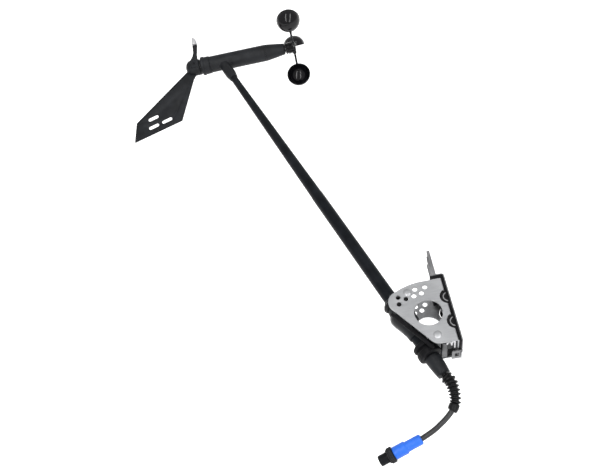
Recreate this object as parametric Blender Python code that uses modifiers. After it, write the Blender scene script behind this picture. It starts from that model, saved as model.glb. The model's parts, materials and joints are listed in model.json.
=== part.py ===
"""Masthead wind sensor: three-cup anemometer and wind vane on a tapered arm, with its bracket and pigtail.

The unit lies on its side, with its plane of symmetry level at Z = 0. X points out of the bracket's base, to
the mast that the base sits on. Y points from the base along the arm to the head, and Z is up. The
origin is the middle of the base's outer face. When the unit is fitted to an upright mast, +X points down, so
the cups hang below the head and the vane stands on top of it.

All sizes are in millimetres, and MM turns them into the scene's metres.
"""

import math

import bmesh
import bpy
from mathutils import Matrix, Vector

MM = 0.001
GAP = 0.3  # between pieces that touch
X, Y, Z = Vector((1, 0, 0)), Vector((0, 1, 0)), Vector((0, 0, 1))

# Driving dimensions
BRACKET_WIDTH = 41.0  # over both side plates
SHEET = 1.5  # thickness of the bracket's steel
BASE_LENGTH = 83.4
MAST_SHEET = 1.2
GASKET = 2.0
WEB_FACE = -(MAST_SHEET + GASKET + 2 * GAP)  # X of the folded bracket's outer face
FRONT = BASE_LENGTH / 2  # Y of the base's front end
INSIDE = BRACKET_WIDTH / 2 - SHEET - 0.4  # half the room between the side plates, less a working gap

ARM_RISE = math.radians(20)
ARM_FOOT = Vector((-50.3, 0, 0))  # where the arm's axis crosses Y = 0
ARM_RADIUS = 8.0
ARM_TAPER_START = 218.0  # distances along the arm are from ARM_FOOT
ARM_SHOULDER_RADIUS = 7.65
ARM_TOP = 535.0
ARM_TOP_RADIUS = 5.0
ARM_WALL = 1.4
ARM_END = -46.0
COLLAR_START, COLLAR_END = -30.2, -47.8

HEAD_Y = 518.0  # the head's axis is parallel to X at this Y
HEAD_RADIUS = 12.8
HEAD_WALL = 2.0
VANE_END = -272.8  # X of the head's ends and of its seams
CAP_SEAM = -258.2
NOSE_SEAM = -168.0
NOSE_END = -136.8
NOSE_RADIUS = 8.6
CAP_RADIUS = 13.7
FLANGE_RADIUS = 14.6  # of the cap's outer end
FLANGE_WIDTH = 4.6
SHAFT_RADIUS = 2.0
BEARING_RADIUS = 5.0
BEARING_WIDTH = 4.0

ROTOR_X = -122.1
CUP_CIRCLE = 47.4  # radius that the cups' centres turn on
CUP_RADIUS = 17.9
CUP_DEPTH = 16.3
CUP_WALL = 1.3
FIRST_CUP = math.radians(85)  # angle from +Y towards +Z

VANE_ANGLE = math.radians(-160)
FIN_THICKNESS = 1.0
TIP_THICKNESS = 8.9  # the tip and the tang inside its arm balance the fin about the shaft
TANG_END = -22.0
VANE_HUB_RADIUS = 12.5
VANE_HUB_FACE = -275.2

CABLE_RADIUS = 2.9
PLUG_TAIL = Vector((-62.6, -121.5, -21.8))
PLUG_TIP = Vector((-109.0, -133.7, -33.0))

CUTTERS = None
PARTS = None


# ---------------------------------------------------------------- helpers


def clear_scene():
    for obj in list(bpy.data.objects):
        bpy.data.objects.remove(obj, do_unlink=True)


def new_collection(name):
    collection = bpy.data.collections.new(name)
    bpy.context.scene.collection.children.link(collection)
    return collection


def material(name, colour, roughness, metallic=0.0):
    made = bpy.data.materials.new(name)
    made.use_nodes = True
    shader = made.node_tree.nodes["Principled BSDF"]
    shader.inputs["Base Color"].default_value = (*colour, 1)
    shader.inputs["Roughness"].default_value = roughness
    shader.inputs["Metallic"].default_value = metallic
    made.diffuse_color = (*colour, 1)
    return made


def placed(origin=(0, 0, 0), along=Z, side=X):
    """A placement with local Z along one direction and local X as near as can be to another."""
    z = Vector(along).normalized()
    if abs(z.dot(Vector(side).normalized())) > 0.999:
        side = Y
    x = (Vector(side) - z * z.dot(Vector(side))).normalized()
    matrix = Matrix((x, z.cross(x), z)).transposed().to_4x4()
    matrix.translation = Vector(origin) * MM
    return matrix


def axis_empty(name, matrix):
    empty = bpy.data.objects.new(name, None)
    PARTS.objects.link(empty)
    empty.matrix_world = matrix
    bpy.context.view_layer.update()
    return empty


def add(name, mesh, finish, matrix, parent=None):
    """A piece of the sensor as an object; with no finish it is a cutter."""
    obj = bpy.data.objects.new(name, mesh)
    (PARTS if finish else CUTTERS).objects.link(obj)
    if parent:
        obj.parent = parent
        obj.matrix_parent_inverse = parent.matrix_world.inverted()
    obj.matrix_world = matrix
    if finish:
        mesh.materials.append(finish)
        mesh.shade_smooth()
    else:
        obj.hide_render = True
        obj.display_type = "WIRE"
    return obj


def boolean(obj, other, operation="DIFFERENCE"):
    modifier = obj.modifiers.new(operation.title(), "BOOLEAN")
    modifier.operation = operation
    modifier.object = other
    modifier.solver = "EXACT"


def bevel(obj, width, segments=2):
    modifier = obj.modifiers.new("Rounded edges", "BEVEL")
    modifier.width = width * MM
    modifier.segments = segments
    modifier.limit_method = "ANGLE"
    modifier.angle_limit = math.radians(40)


def turned(name, profile, finish, matrix, steps=32, parent=None):
    """A turned piece. The profile is (radius, height) pairs that run down its outer side, and it is
    a closed ring unless it starts and ends on the axis."""
    mesh = bpy.data.meshes.new(name)
    count = len(profile)
    ring = profile[0][0] > 0 or profile[-1][0] > 0
    edges = [(i, i + 1) for i in range(count - 1)] + [(count - 1, 0)] * ring
    mesh.from_pydata([(r * MM, 0, h * MM) for r, h in profile], edges, [])
    obj = add(name, mesh, finish, matrix, parent)
    screw = obj.modifiers.new("Turned", "SCREW")
    screw.steps = screw.render_steps = steps
    screw.use_merge_vertices = True
    screw.merge_threshold = 1e-6
    return obj


def rod(name, radius, low, high, finish, matrix, steps=20, parent=None):
    return turned(name, [(0, high), (radius, high), (radius, low), (0, low)], finish, matrix, steps, parent)


def pipe(name, radius, bore, low, high, finish, matrix, steps=32, parent=None):
    profile = [(radius, high), (radius, low), (bore, low), (bore, high)]
    return turned(name, profile, finish, matrix, steps, parent)


def block(name, low, high, finish, matrix=None, rounding=0.0, parent=None):
    """A box between two corners of its own frame, in millimetres."""
    low, high = Vector(low) * MM, Vector(high) * MM
    mesh = bpy.data.meshes.new(name)
    shape = bmesh.new()
    bmesh.ops.create_cube(shape, size=1)
    bmesh.ops.scale(shape, vec=high - low, verts=shape.verts)
    bmesh.ops.translate(shape, vec=(low + high) / 2, verts=shape.verts)
    shape.to_mesh(mesh)
    shape.free()
    obj = add(name, mesh, finish, matrix or Matrix(), parent)
    if rounding:
        bevel(obj, rounding)
    return obj


def rounded(corners, segments=6):
    """An outline from (x, y, radius) corners, with each corner turned into an arc of its radius."""
    points = []
    for i, (x, y, radius) in enumerate(corners):
        here = Vector((x, y))
        before = (Vector(corners[i - 1][:2]) - here).normalized()
        after = (Vector(corners[(i + 1) % len(corners)][:2]) - here).normalized()
        if not radius:
            points.append(here)
            continue
        half = before.angle(after) / 2
        middle = (before + after).normalized()
        centre = here + middle * radius / math.sin(half)
        start = here + before * radius / math.tan(half) - centre
        turn = start.angle_signed(here + after * radius / math.tan(half) - centre)
        for k in range(segments + 1):
            step = start.copy()
            step.rotate(Matrix.Rotation(-turn * k / segments, 2))
            points.append(centre + step)
    return points


def flat_mesh(name, loops, thickness):
    """A flat piece from outlines, the first its outer edge and the rest holes, centred on its own plane."""
    curve = bpy.data.curves.new(name, "CURVE")
    curve.dimensions = "2D"
    curve.fill_mode = "BOTH"
    curve.extrude = thickness / 2 * MM
    for loop in loops:
        spline = curve.splines.new("POLY")
        spline.points.add(len(loop) - 1)
        for point, (x, y) in zip(spline.points, loop):
            point.co = (x * MM, y * MM, 0, 1)
        spline.use_cyclic_u = True
    return solid_of_curve(name, curve)


def solid_of_curve(name, curve):
    """The curve's mesh, with its caps welded to its sides."""
    guide = bpy.data.objects.new(name + "_guide", curve)
    CUTTERS.objects.link(guide)
    graph = bpy.context.evaluated_depsgraph_get()
    mesh = bpy.data.meshes.new_from_object(guide.evaluated_get(graph))
    bpy.data.objects.remove(guide)
    bpy.data.curves.remove(curve)
    shape = bmesh.new()
    shape.from_mesh(mesh)
    bmesh.ops.remove_doubles(shape, verts=shape.verts, dist=1e-6)
    bmesh.ops.recalc_face_normals(shape, faces=shape.faces)
    shape.to_mesh(mesh)
    shape.free()
    return mesh


def flat(name, loops, thickness, finish, matrix=None, parent=None):
    return add(name, flat_mesh(name, loops, thickness), finish, matrix or Matrix(), parent)


def trim(obj, outline, matrix=None, reach=60.0):
    """Cuts away all of the object that is outside an outline."""
    around = [(-300, -300), (300, -300), (300, 300), (-300, 300)]
    boolean(obj, flat(obj.name + "_trim", [around, outline], 2 * reach, None, matrix))


def drill(obj, radius, centre, along, length, steps=16):
    hole = rod(obj.name + "_drill", radius, -length / 2, length / 2, None, placed(centre, along), steps)
    boolean(obj, hole)


def smooth_route(points, steps):
    """Points on a smooth curve through the route's own points (a Catmull-Rom spline)."""
    ends = [points[0] * 2 - points[1], *points, points[-1] * 2 - points[-2]]
    line = []
    for a, b, c, d in zip(ends, ends[1:], ends[2:], ends[3:]):
        for k in range(steps):
            t = k / steps
            square, cube = (2 * a - 5 * b + 4 * c - d) * t**2, (3 * b - a - 3 * c + d) * t**3
            line.append((2 * b + (c - a) * t + square + cube) / 2)
    return [*line, points[-1]]


def swept_curve(name, line, radii, sides):
    """A round curve along a line, whose radius at each point is given."""
    curve = bpy.data.curves.new(name, "CURVE")
    curve.dimensions = "3D"
    curve.bevel_depth = MM
    curve.bevel_resolution = sides
    curve.use_fill_caps = True
    spline = curve.splines.new("POLY")
    spline.points.add(len(line) - 1)
    for point, place, radius in zip(spline.points, line, radii):
        point.co = (*(place * MM), 1)
        point.radius = radius
    return curve


# ---------------------------------------------------------------- frames shared by the pieces

ARM_UP = Vector((-math.sin(ARM_RISE), math.cos(ARM_RISE), 0))
ARM_SIDE = Vector((math.cos(ARM_RISE), math.sin(ARM_RISE), 0))
ON_ARM = placed(ARM_FOOT, ARM_UP, ARM_SIDE)  # local Z runs up the arm
ON_HEAD = placed((0, HEAD_Y, 0), X, Y)  # local Z is X along the head
ON_ROTOR = placed((ROTOR_X, HEAD_Y, 0), X, Y)
FIN_OUT = Vector((0, math.cos(VANE_ANGLE), math.sin(VANE_ANGLE)))
ON_FIN = placed((0, HEAD_Y, 0), X.cross(FIN_OUT), X)  # local X is X, and local Y is out along the fin
PLUG_ALONG = (PLUG_TIP - PLUG_TAIL).normalized()
ON_PLUG = placed(PLUG_TAIL, PLUG_ALONG, Z)
PLUG_LENGTH = (PLUG_TIP - PLUG_TAIL).length

HOLE_CENTRES = [
    (-55.5, 22.1), (-47.4, 18.5), (-56.2, 13.5), (-35.5, 28.6), (-24.3, 29.2), (-29.5, 22.5), (-38.3, 20.6),
]
HOLE_RADIUS = 2.7
DIMPLE_CENTRES = [(-44.4, 26.5), (-24.3, -30.0)]
NOTCH_CENTRES = [13.0, -17.6]  # Y of each pair of edge notches, and of the rivets that they give access to
NOTCH_RADIUS = 9.15
NOTCH_DEPTH = 2.2  # how far in from each side of the bracket
LARGE_HOLE = (-27.5, -2.6, 15.3)
RIVET_Z = 12.0
LATCH_PIVOT = Vector((-10.0, 33.0, 0))
LEVER_TIP = 87.4


# ---------------------------------------------------------------- bracket and base


def build_bracket(steel):
    """One sheet folded into a U, with its side plates cut to a rounded triangle."""
    half = BRACKET_WIDTH / 2
    inner = half - SHEET
    section = rounded(
        [
            (-80, -half, 0), (WEB_FACE, -half, 2.5), (WEB_FACE, half, 2.5), (-80, half, 0),
            (-80, inner, 0), (WEB_FACE - SHEET, inner, 1), (WEB_FACE - SHEET, -inner, 1), (-80, -inner, 0),
        ],
        3,
    )
    bracket = flat("mast_bracket", [section], 100, steel, placed((0, 0, 0), -Y, X))
    for side in (1, -1):
        for x, y in DIMPLE_CENTRES:
            raised = turned(
                "dimple_outside", [(0, 0.9), (3.6, 0.9), (4.6, -0.4), (0, -0.4)], None,
                placed((x, y, side * half), Z * side), 20,
            )
            boolean(bracket, raised, "UNION")
    outline = rounded([(6, -40.3, 0), (6, 37, 0), (-41, 37, 70), (-74.3, 22, 13), (-28.8, -40.3, 10)])
    trim(bracket, outline)
    long = BRACKET_WIDTH + 20
    for x, y in HOLE_CENTRES:
        drill(bracket, HOLE_RADIUS, (x, y, 0), Z, long)
    drill(bracket, LARGE_HOLE[2], (*LARGE_HOLE[:2], 0), Z, long, 40)
    for side in (1, -1):
        for x, y in DIMPLE_CENTRES:
            drill(bracket, 3.2, (x, y, side * (inner - 1)), Z, 3.6, 20)
        for y in NOTCH_CENTRES:
            drill(bracket, 2 + GAP, (0, y, side * RIVET_Z), X, 20, 12)
            drill(bracket, NOTCH_RADIUS, (WEB_FACE + 1.6, y, side * (half - NOTCH_DEPTH + 5)), Z, 10, 28)
    return bracket


def build_base(steel, rubber, plastic, rivet_steel):
    """The plate that hooks on to the mast fitting, the gasket on it, the liner inside the bracket, and the
    rivets that hold the stack together."""
    half = BRACKET_WIDTH / 2
    wall_top = -15.8  # X of the top edge of the walls at the front end
    gasket_low, gasket_high = -(MAST_SHEET + GASKET + GAP), -(MAST_SHEET + GAP)
    gasket = flat(
        "base_gasket",
        [rounded([
            (gasket_high, -FRONT, 0), (gasket_high, FRONT - GAP, 2), (wall_top, FRONT - GAP, 0),
            (wall_top, 37.3, 0), (gasket_low, 37.3, 0), (gasket_low, -FRONT, 0),
        ], 3)],
        BRACKET_WIDTH, rubber,
    )
    plate = flat(
        "mast_plate",
        [rounded([
            (0, -FRONT, 0), (0, FRONT + MAST_SHEET, 3), (wall_top, FRONT + MAST_SHEET, 0),
            (wall_top, FRONT, 0), (-MAST_SHEET, FRONT, 1.8), (-MAST_SHEET, -FRONT, 0),
        ], 3)],
        BRACKET_WIDTH, steel,
    )
    hook = block("hook_shape", (-11.5, -FRONT - MAST_SHEET, -19.5), (0, -FRONT + 0.5, -1), None, None, 0.4)
    boolean(plate, hook, "UNION")
    boolean(plate, block("hook_slot", (-8.6, -FRONT - 3, -14), (-4.2, -FRONT + 2, -6), None))
    boolean(plate, block("hook_relief", (-14, -FRONT - 0.01, -25), (-MAST_SHEET, -FRONT + 2, 2), None))
    lever_way = block("lever_way", (-18, 35, -8), (-5.0, 50, 8), None)
    for piece in (gasket, plate):
        boolean(piece, lever_way)
        for side in (1, -1):
            for y in NOTCH_CENTRES:
                drill(piece, 2 + GAP, (0, y, side * RIVET_Z), X, 20, 12)
    head = WEB_FACE - SHEET - GAP
    liner = block("base_liner", (head - 2.8, -30, -INSIDE), (head, 24.5, INSIDE), plastic, None, 0.4)
    head_radius = 4.0
    number = 0
    for y in NOTCH_CENTRES:
        for side in (1, -1):
            number += 1
            drill(liner, head_radius + GAP, (0, y, side * RIVET_Z), X, 20)
            turned(
                f"base_rivet_{number}",
                [(0, -GAP), (2, -GAP), (2, head), (head_radius, head), (head_radius - 0.3, head - 1.8),
                 (2.2, head - 3), (0, head - 3.2)],
                rivet_steel, placed((0, y, side * RIVET_Z), X), 16,
            )
    pin_radius = 0.8
    beside_hook = (-1.4, -FRONT - MAST_SHEET - GAP - pin_radius, 0)
    retaining_pin = rod("retaining_pin", pin_radius, -26.5, -2.0, rivet_steel, placed(beside_hook, Z), 10)
    bevel(retaining_pin, 0.2, 1)


def build_latch(steel, plastic, pin_steel):
    """The release lever at the base's front end, with its housing, pivot pin and return spring."""
    low, high, slot, top = 25.0, 36.9, 8.0, INSIDE
    housing = flat(
        "latch_housing",
        [[(low, -top), (high, -top), (high, -slot), (low + 2, -slot), (low + 2, slot), (high, slot),
          (high, top), (low, top)]],
        9.7, plastic, placed((-10.45, 0, 0), X, Y),
    )
    drill(housing, 1.5 + GAP, LATCH_PIVOT, Z, 60, 12)
    rod("latch_pin", 1.5, -INSIDE, INSIDE, pin_steel, placed(LATCH_PIVOT, Z), 12)
    pivot = axis_empty("latch_axis", placed(LATCH_PIVOT, Z))
    section = [
        (-16, -7, 0), (-6.2, -7, 1), (-6.2, 7, 1), (-16, 7, 0),
        (-16, 6, 0), (-7.3, 6, 0.3), (-7.3, -6, 0.3), (-16, -6, 0),
    ]
    lever = flat("latch_lever", [rounded(section, 2)], 240, steel, placed((0, 0, 0), -Y, X), pivot)
    trim(lever, rounded([
        (0, 29.8, 0), (0, LEVER_TIP, 0), (-7.6, LEVER_TIP, 0.8), (-9.8, LEVER_TIP - 1.2, 1.5),
        (-10.5, 75.5, 1.5), (-12.2, 72, 1.5), (-13, 29.8, 1),
    ], 3))
    plan = rounded([(20, -12, 0), (LEVER_TIP, -8, 8), (LEVER_TIP, 8, 8), (20, 12, 0)], 5)
    trim(lever, plan, placed((-5, 0, 0), X, Y))
    drill(lever, 1.5 + GAP, LATCH_PIVOT, Z, 40, 12)
    turns, points_per_turn = 3.5, 10
    line = []
    for k in range(int(turns * points_per_turn) + 1):
        angle = 2 * math.pi * k / points_per_turn
        height = -4 + 8 * k / (turns * points_per_turn)
        line.append(Vector((2.2 * math.cos(angle), 2.2 * math.sin(angle), height)))
    curve = swept_curve("latch_spring", line, [0.35] * len(line), 1)
    add("latch_spring", solid_of_curve("latch_spring", curve), pin_steel, placed(LATCH_PIVOT, Z))
    block("catch_block", (-17, -40.0, 1), (WEB_FACE - SHEET - GAP, -31, INSIDE), plastic, None, 0.8)


# ---------------------------------------------------------------- arm and its holder


def build_holder(plastic, rubber, screw_steel):
    """The moulded saddle between the side plates that holds the arm, its ring and the locking collar."""
    bore = ARM_RADIUS + GAP
    outer = [
        (9.6, 33.5), (10.4, 31.5), (10.4, 23), (12.0, 20), (12.4, 15), (14.5, 10.5), (14.1, 6.5),
        (11.3, -5), (9.8, -13), (9.3, -20),
    ]
    holder = turned("arm_holder", [*outer, (bore, -20), (bore, 33.5)], plastic, ON_ARM, 36)
    for side in (1, -1):
        z_low, z_high = sorted((side * 8.9, side * INSIDE))
        lower = block("lower_pad", (-2, z_low, -10), (8.8, z_high, 14), None, ON_ARM, 0.8)
        upper = block("upper_pad", (-4.5, z_low, 11), (11.6, z_high, 20.5), None, ON_ARM, 0.8)
        boolean(holder, lower, "UNION")
        boolean(holder, upper, "UNION")
    boolean(holder, rod("holder_bore", bore, -40, 50, None, ON_ARM, 36))
    number = 0
    shank, head, head_top, shank_end = 1.4, 2.35, -0.5, -8.0
    head_seat = -(BRACKET_WIDTH / 2 - INSIDE) + GAP
    for x, y in HOLE_CENTRES[1:3]:
        for side in (1, -1):
            number += 1
            drill(holder, shank + GAP, (x, y, side * INSIDE), Z, 16, 12)
            turned(
                f"holder_screw_{number}",
                [(0, head_top), (head, head_top), (head, head_seat), (shank, head_seat), (shank, shank_end),
                 (0, shank_end)],
                screw_steel, placed((x, y, side * BRACKET_WIDTH / 2), Z * side), 16,
            )
    ring_centre, ring_radius = 27.0, 13.6
    ring_bore = 10.4 + GAP
    ring = [
        (ring_radius - 1.3, ring_centre + 3.2), (ring_radius, ring_centre + 1.6),
        (ring_radius, ring_centre - 1.6), (ring_radius - 1.3, ring_centre - 3.2),
        (ring_bore, ring_centre - 3.2), (ring_bore, ring_centre + 3.2),
    ]
    turned("holder_ring", ring, rubber, ON_ARM, 36)
    collar_axis = axis_empty("collar_axis", ON_ARM)
    profile = [(10.4, COLLAR_START)]
    for centre, radius in ((-34.5, 12.5), (-43.7, 13.0)):
        profile += [
            (radius - 1.6, centre + 3.7), (radius - 0.3, centre + 2.2), (radius, centre),
            (radius - 0.3, centre - 2.2), (radius - 1.6, centre - 3.7),
        ]
    profile += [(10.0, COLLAR_END), (bore, COLLAR_END), (bore, COLLAR_START)]
    turned("locking_collar", profile, plastic, ON_ARM, 36, collar_axis)


def build_arm(carbon, plastic, sheath):
    outer = [
        (ARM_TOP_RADIUS, ARM_TOP), (ARM_SHOULDER_RADIUS, ARM_TAPER_START + 3), (ARM_RADIUS, ARM_TAPER_START),
        (ARM_RADIUS, ARM_END),
    ]
    inner = [(r - ARM_WALL, h) for r, h in reversed(outer)]
    turned("arm_tube", outer + inner, carbon, ON_ARM, 32)
    rod("arm_cable", 2.0, CABLE_START + 1, 538.0, sheath, ON_ARM, 12)
    bore = CABLE_RADIUS + GAP
    spigot, spigot_start = ARM_RADIUS - ARM_WALL - GAP, ARM_END + 6
    gland = [
        (spigot, spigot_start), (spigot, COLLAR_END - 0.5), (8.9, COLLAR_END - 0.6), (8.9, -53), (8.4, -60),
        (7.8, -66), (7.3, BOOT_START), (bore, BOOT_START), (bore, spigot_start),
    ]
    turned("tail_gland", gland, plastic, ON_ARM, 28)


CABLE_START = -60.0
BOOT_START = -71.0
BOOT_GAP = 1.1
BOOT_RADIUS, BOOT_END_RADIUS, GROOVE = 7.0, 5.2, 0.9
PIGTAIL = [
    Vector(point)
    for point in (
        (-21.7, -74.4, -0.3), (-20.6, -80.95, -1.0), (-20.5, -87.2, -2.2), (-21.3, -93.2, -3.8),
        (-23.3, -98.5, -5.6), (-27.3, -103.4, -7.4), (-33.1, -108.2, -9.5), (-39.6, -112.3, -12.0),
        (-48.9, -117.0, -16.0),
    )
]
BOOT_SPANS = 6  # spans of the route that the strain relief covers
RIBS = 8
CABLE_IN_PLUG = 8.0


def pigtail_route():
    start = ARM_FOOT + ARM_UP * CABLE_START
    boot_start = ARM_FOOT + ARM_UP * (BOOT_START - BOOT_GAP)
    end = PLUG_TAIL + PLUG_ALONG * CABLE_IN_PLUG
    return smooth_route([start, boot_start, *PIGTAIL, PLUG_TAIL, end], 6)


def build_pigtail(rubber, sheath):
    """The ribbed strain relief and the cable, which comes out of the gland along the arm's axis."""
    line = pigtail_route()
    cable_line = [*line[:-1:2], line[-1]]
    cable = swept_curve("cable", cable_line, [CABLE_RADIUS] * len(cable_line), 2)
    obj = bpy.data.objects.new("cable", cable)
    PARTS.objects.link(obj)
    cable.materials.append(sheath)
    boot_line = line[6 : 6 + BOOT_SPANS * 6 + 1]
    radii = []
    for k in range(len(boot_line)):
        along = k / (len(boot_line) - 1)
        body = BOOT_RADIUS + (BOOT_END_RADIUS - BOOT_RADIUS) * along
        in_ribs = 0.04 < along < 0.86
        crest = in_ribs and math.sin(2 * math.pi * RIBS * (along - 0.04) / 0.82) > 0
        radii.append(body if crest or not in_ribs else body - GROOVE)
    boot_mesh = solid_of_curve("strain_relief", swept_curve("boot", boot_line, radii, 4))
    boot = add("strain_relief", boot_mesh, rubber, Matrix())
    ends = [boot_line[0] * 2 - boot_line[1], *boot_line, boot_line[-1] * 2 - boot_line[-2]]
    passage_radii = [CABLE_RADIUS + GAP + 0.1] * len(ends)
    passage = solid_of_curve("passage", swept_curve("passage", ends, passage_radii, 2))
    boolean(boot, add("boot_passage", passage, None, Matrix()))


# ---------------------------------------------------------------- head


def build_head(shell, seal_rubber):
    """The shells: a tube with the socket for the arm, a cap at the vane end and a nose at the cup end."""
    bore = HEAD_RADIUS - HEAD_WALL
    housing = pipe("head_housing", HEAD_RADIUS, bore, CAP_SEAM + GAP, NOSE_SEAM - GAP, shell, ON_HEAD, 40)
    socket_profile = [(0, 545), (8.3, 545), (8.3, 516), (6.2, 502.5), (0, 502.5)]
    socket = turned("socket_shape", socket_profile, None, ON_ARM, 32)
    boolean(housing, socket, "UNION")
    boolean(housing, rod("housing_bore", bore, CAP_SEAM - 5, NOSE_SEAM + 5, None, ON_HEAD, 40))
    taper = (ARM_SHOULDER_RADIUS - ARM_TOP_RADIUS) / (ARM_TOP - ARM_TAPER_START)
    arm_way = [
        (0, 560), (ARM_TOP_RADIUS + GAP, 560), (ARM_TOP_RADIUS + GAP, ARM_TOP),
        (ARM_TOP_RADIUS + GAP + taper * 45, ARM_TOP - 45), (0, ARM_TOP - 45),
    ]
    boolean(housing, turned("arm_way", arm_way, None, ON_ARM, 28))

    shaft_way = SHAFT_RADIUS + 0.5
    seat = BEARING_RADIUS + GAP
    cap = [
        (bore - GAP, CAP_SEAM + 8), (bore - GAP, CAP_SEAM), (CAP_RADIUS - 0.8, CAP_SEAM),
        (CAP_RADIUS, CAP_SEAM - 1.2), (CAP_RADIUS, VANE_END + FLANGE_WIDTH + 0.6),
        (FLANGE_RADIUS, VANE_END + FLANGE_WIDTH), (FLANGE_RADIUS, VANE_END + 1.2),
        (FLANGE_RADIUS - 1.2, VANE_END), (shaft_way, VANE_END), (shaft_way, VANE_END + 2),
        (seat, VANE_END + 2), (seat, CAP_SEAM + 8),
    ]
    turned("vane_end_cap", cap, shell, ON_HEAD, 40)
    nose = [
        (NOSE_RADIUS - 0.8, NOSE_END), (NOSE_RADIUS, NOSE_END - 1), (HEAD_RADIUS, NOSE_SEAM),
        (bore - GAP, NOSE_SEAM), (bore - GAP, NOSE_SEAM - 6), (seat, NOSE_SEAM - 6), (seat, NOSE_END - 3),
        (shaft_way, NOSE_END - 3), (shaft_way, NOSE_END),
    ]
    turned("nose_cone", nose, shell, ON_HEAD, 40)
    lip = SHAFT_RADIUS + GAP
    pipe("vane_seal", 11.0, lip, VANE_HUB_FACE + GAP, VANE_END - GAP, seal_rubber, ON_HEAD, 24)
    pipe("nose_seal", 6.2, lip, NOSE_END + GAP, NOSE_END + 1.1, seal_rubber, ON_HEAD, 20)


def build_head_internals(steel, magnet, board, chip):
    """Bearings, shafts, magnets and the circuit board that reads both magnets."""
    vane_axis = axis_empty("vane_axis", ON_HEAD)
    cup_axis = axis_empty("cup_axis", ON_HEAD)
    starts = {
        "vane_bearing_outer": VANE_END + 2 + GAP,
        "vane_bearing_inner": CAP_SEAM + 8 - BEARING_WIDTH,
        "cup_bearing_inner": NOSE_SEAM - 6,
        "cup_bearing_outer": NOSE_END - 3 - GAP - BEARING_WIDTH,
    }
    for name, start in starts.items():
        pipe(name, BEARING_RADIUS, SHAFT_RADIUS + GAP, start, start + BEARING_WIDTH, steel, ON_HEAD, 24)
    vane_inner, cup_inner = CAP_SEAM + 13, NOSE_SEAM - 9
    rod("vane_shaft", SHAFT_RADIUS, -291.0, vane_inner, steel, ON_HEAD, 20, vane_axis)
    rod("cup_shaft", SHAFT_RADIUS, cup_inner, -125.5, steel, ON_HEAD, 20, cup_axis)
    rod("vane_magnet", 4.0, vane_inner + GAP, vane_inner + 4.5, magnet, ON_HEAD, 20, vane_axis)
    rod("cup_magnet", 4.0, cup_inner - 4.5, cup_inner - GAP, magnet, ON_HEAD, 20, cup_axis)
    board_low, board_high = vane_inner + 10, cup_inner - 10
    block("circuit_board", (board_low, HEAD_Y - 9, -0.8), (board_high, HEAD_Y + 9, 0.8), board)
    for name, low, high in (
        ("vane_sensor", board_low - 3.5, board_low - GAP),
        ("cup_sensor", board_high + GAP, board_high + 3.5),
    ):
        block(name, (low, HEAD_Y - 2.5, -2.5), (high, HEAD_Y + 2.5, 2.5), chip)
    return vane_axis, cup_axis


# ---------------------------------------------------------------- vane

FIN_TAB = (-297.0, -284.0, 4.0)  # the fin's root in the hub: both ends along X, and its distance out
FIN_SLOTS = [(-339.5, 82.5), (-361.5, 88.5), (-361.0, 74.0)]  # centres of three equal lightening slots
SLOT_LENGTH, SLOT_WIDTH = 17.0, 5.6
FIN_EDGE_ANGLE = math.radians(164.8)  # direction of the fin's far edge, which the slots are parallel to


def slot_outline(x, y):
    along = Vector((math.cos(FIN_EDGE_ANGLE), math.sin(FIN_EDGE_ANGLE))) * (SLOT_LENGTH / 2)
    across = Vector((-math.sin(FIN_EDGE_ANGLE), math.cos(FIN_EDGE_ANGLE))) * (SLOT_WIDTH / 2)
    centre = Vector((x, y))
    corners = [(-1, -1), (1, -1), (1, 1), (-1, 1)]
    return rounded([(*(centre + along * i + across * j), SLOT_WIDTH / 2 - 0.2) for i, j in corners], 4)


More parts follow.
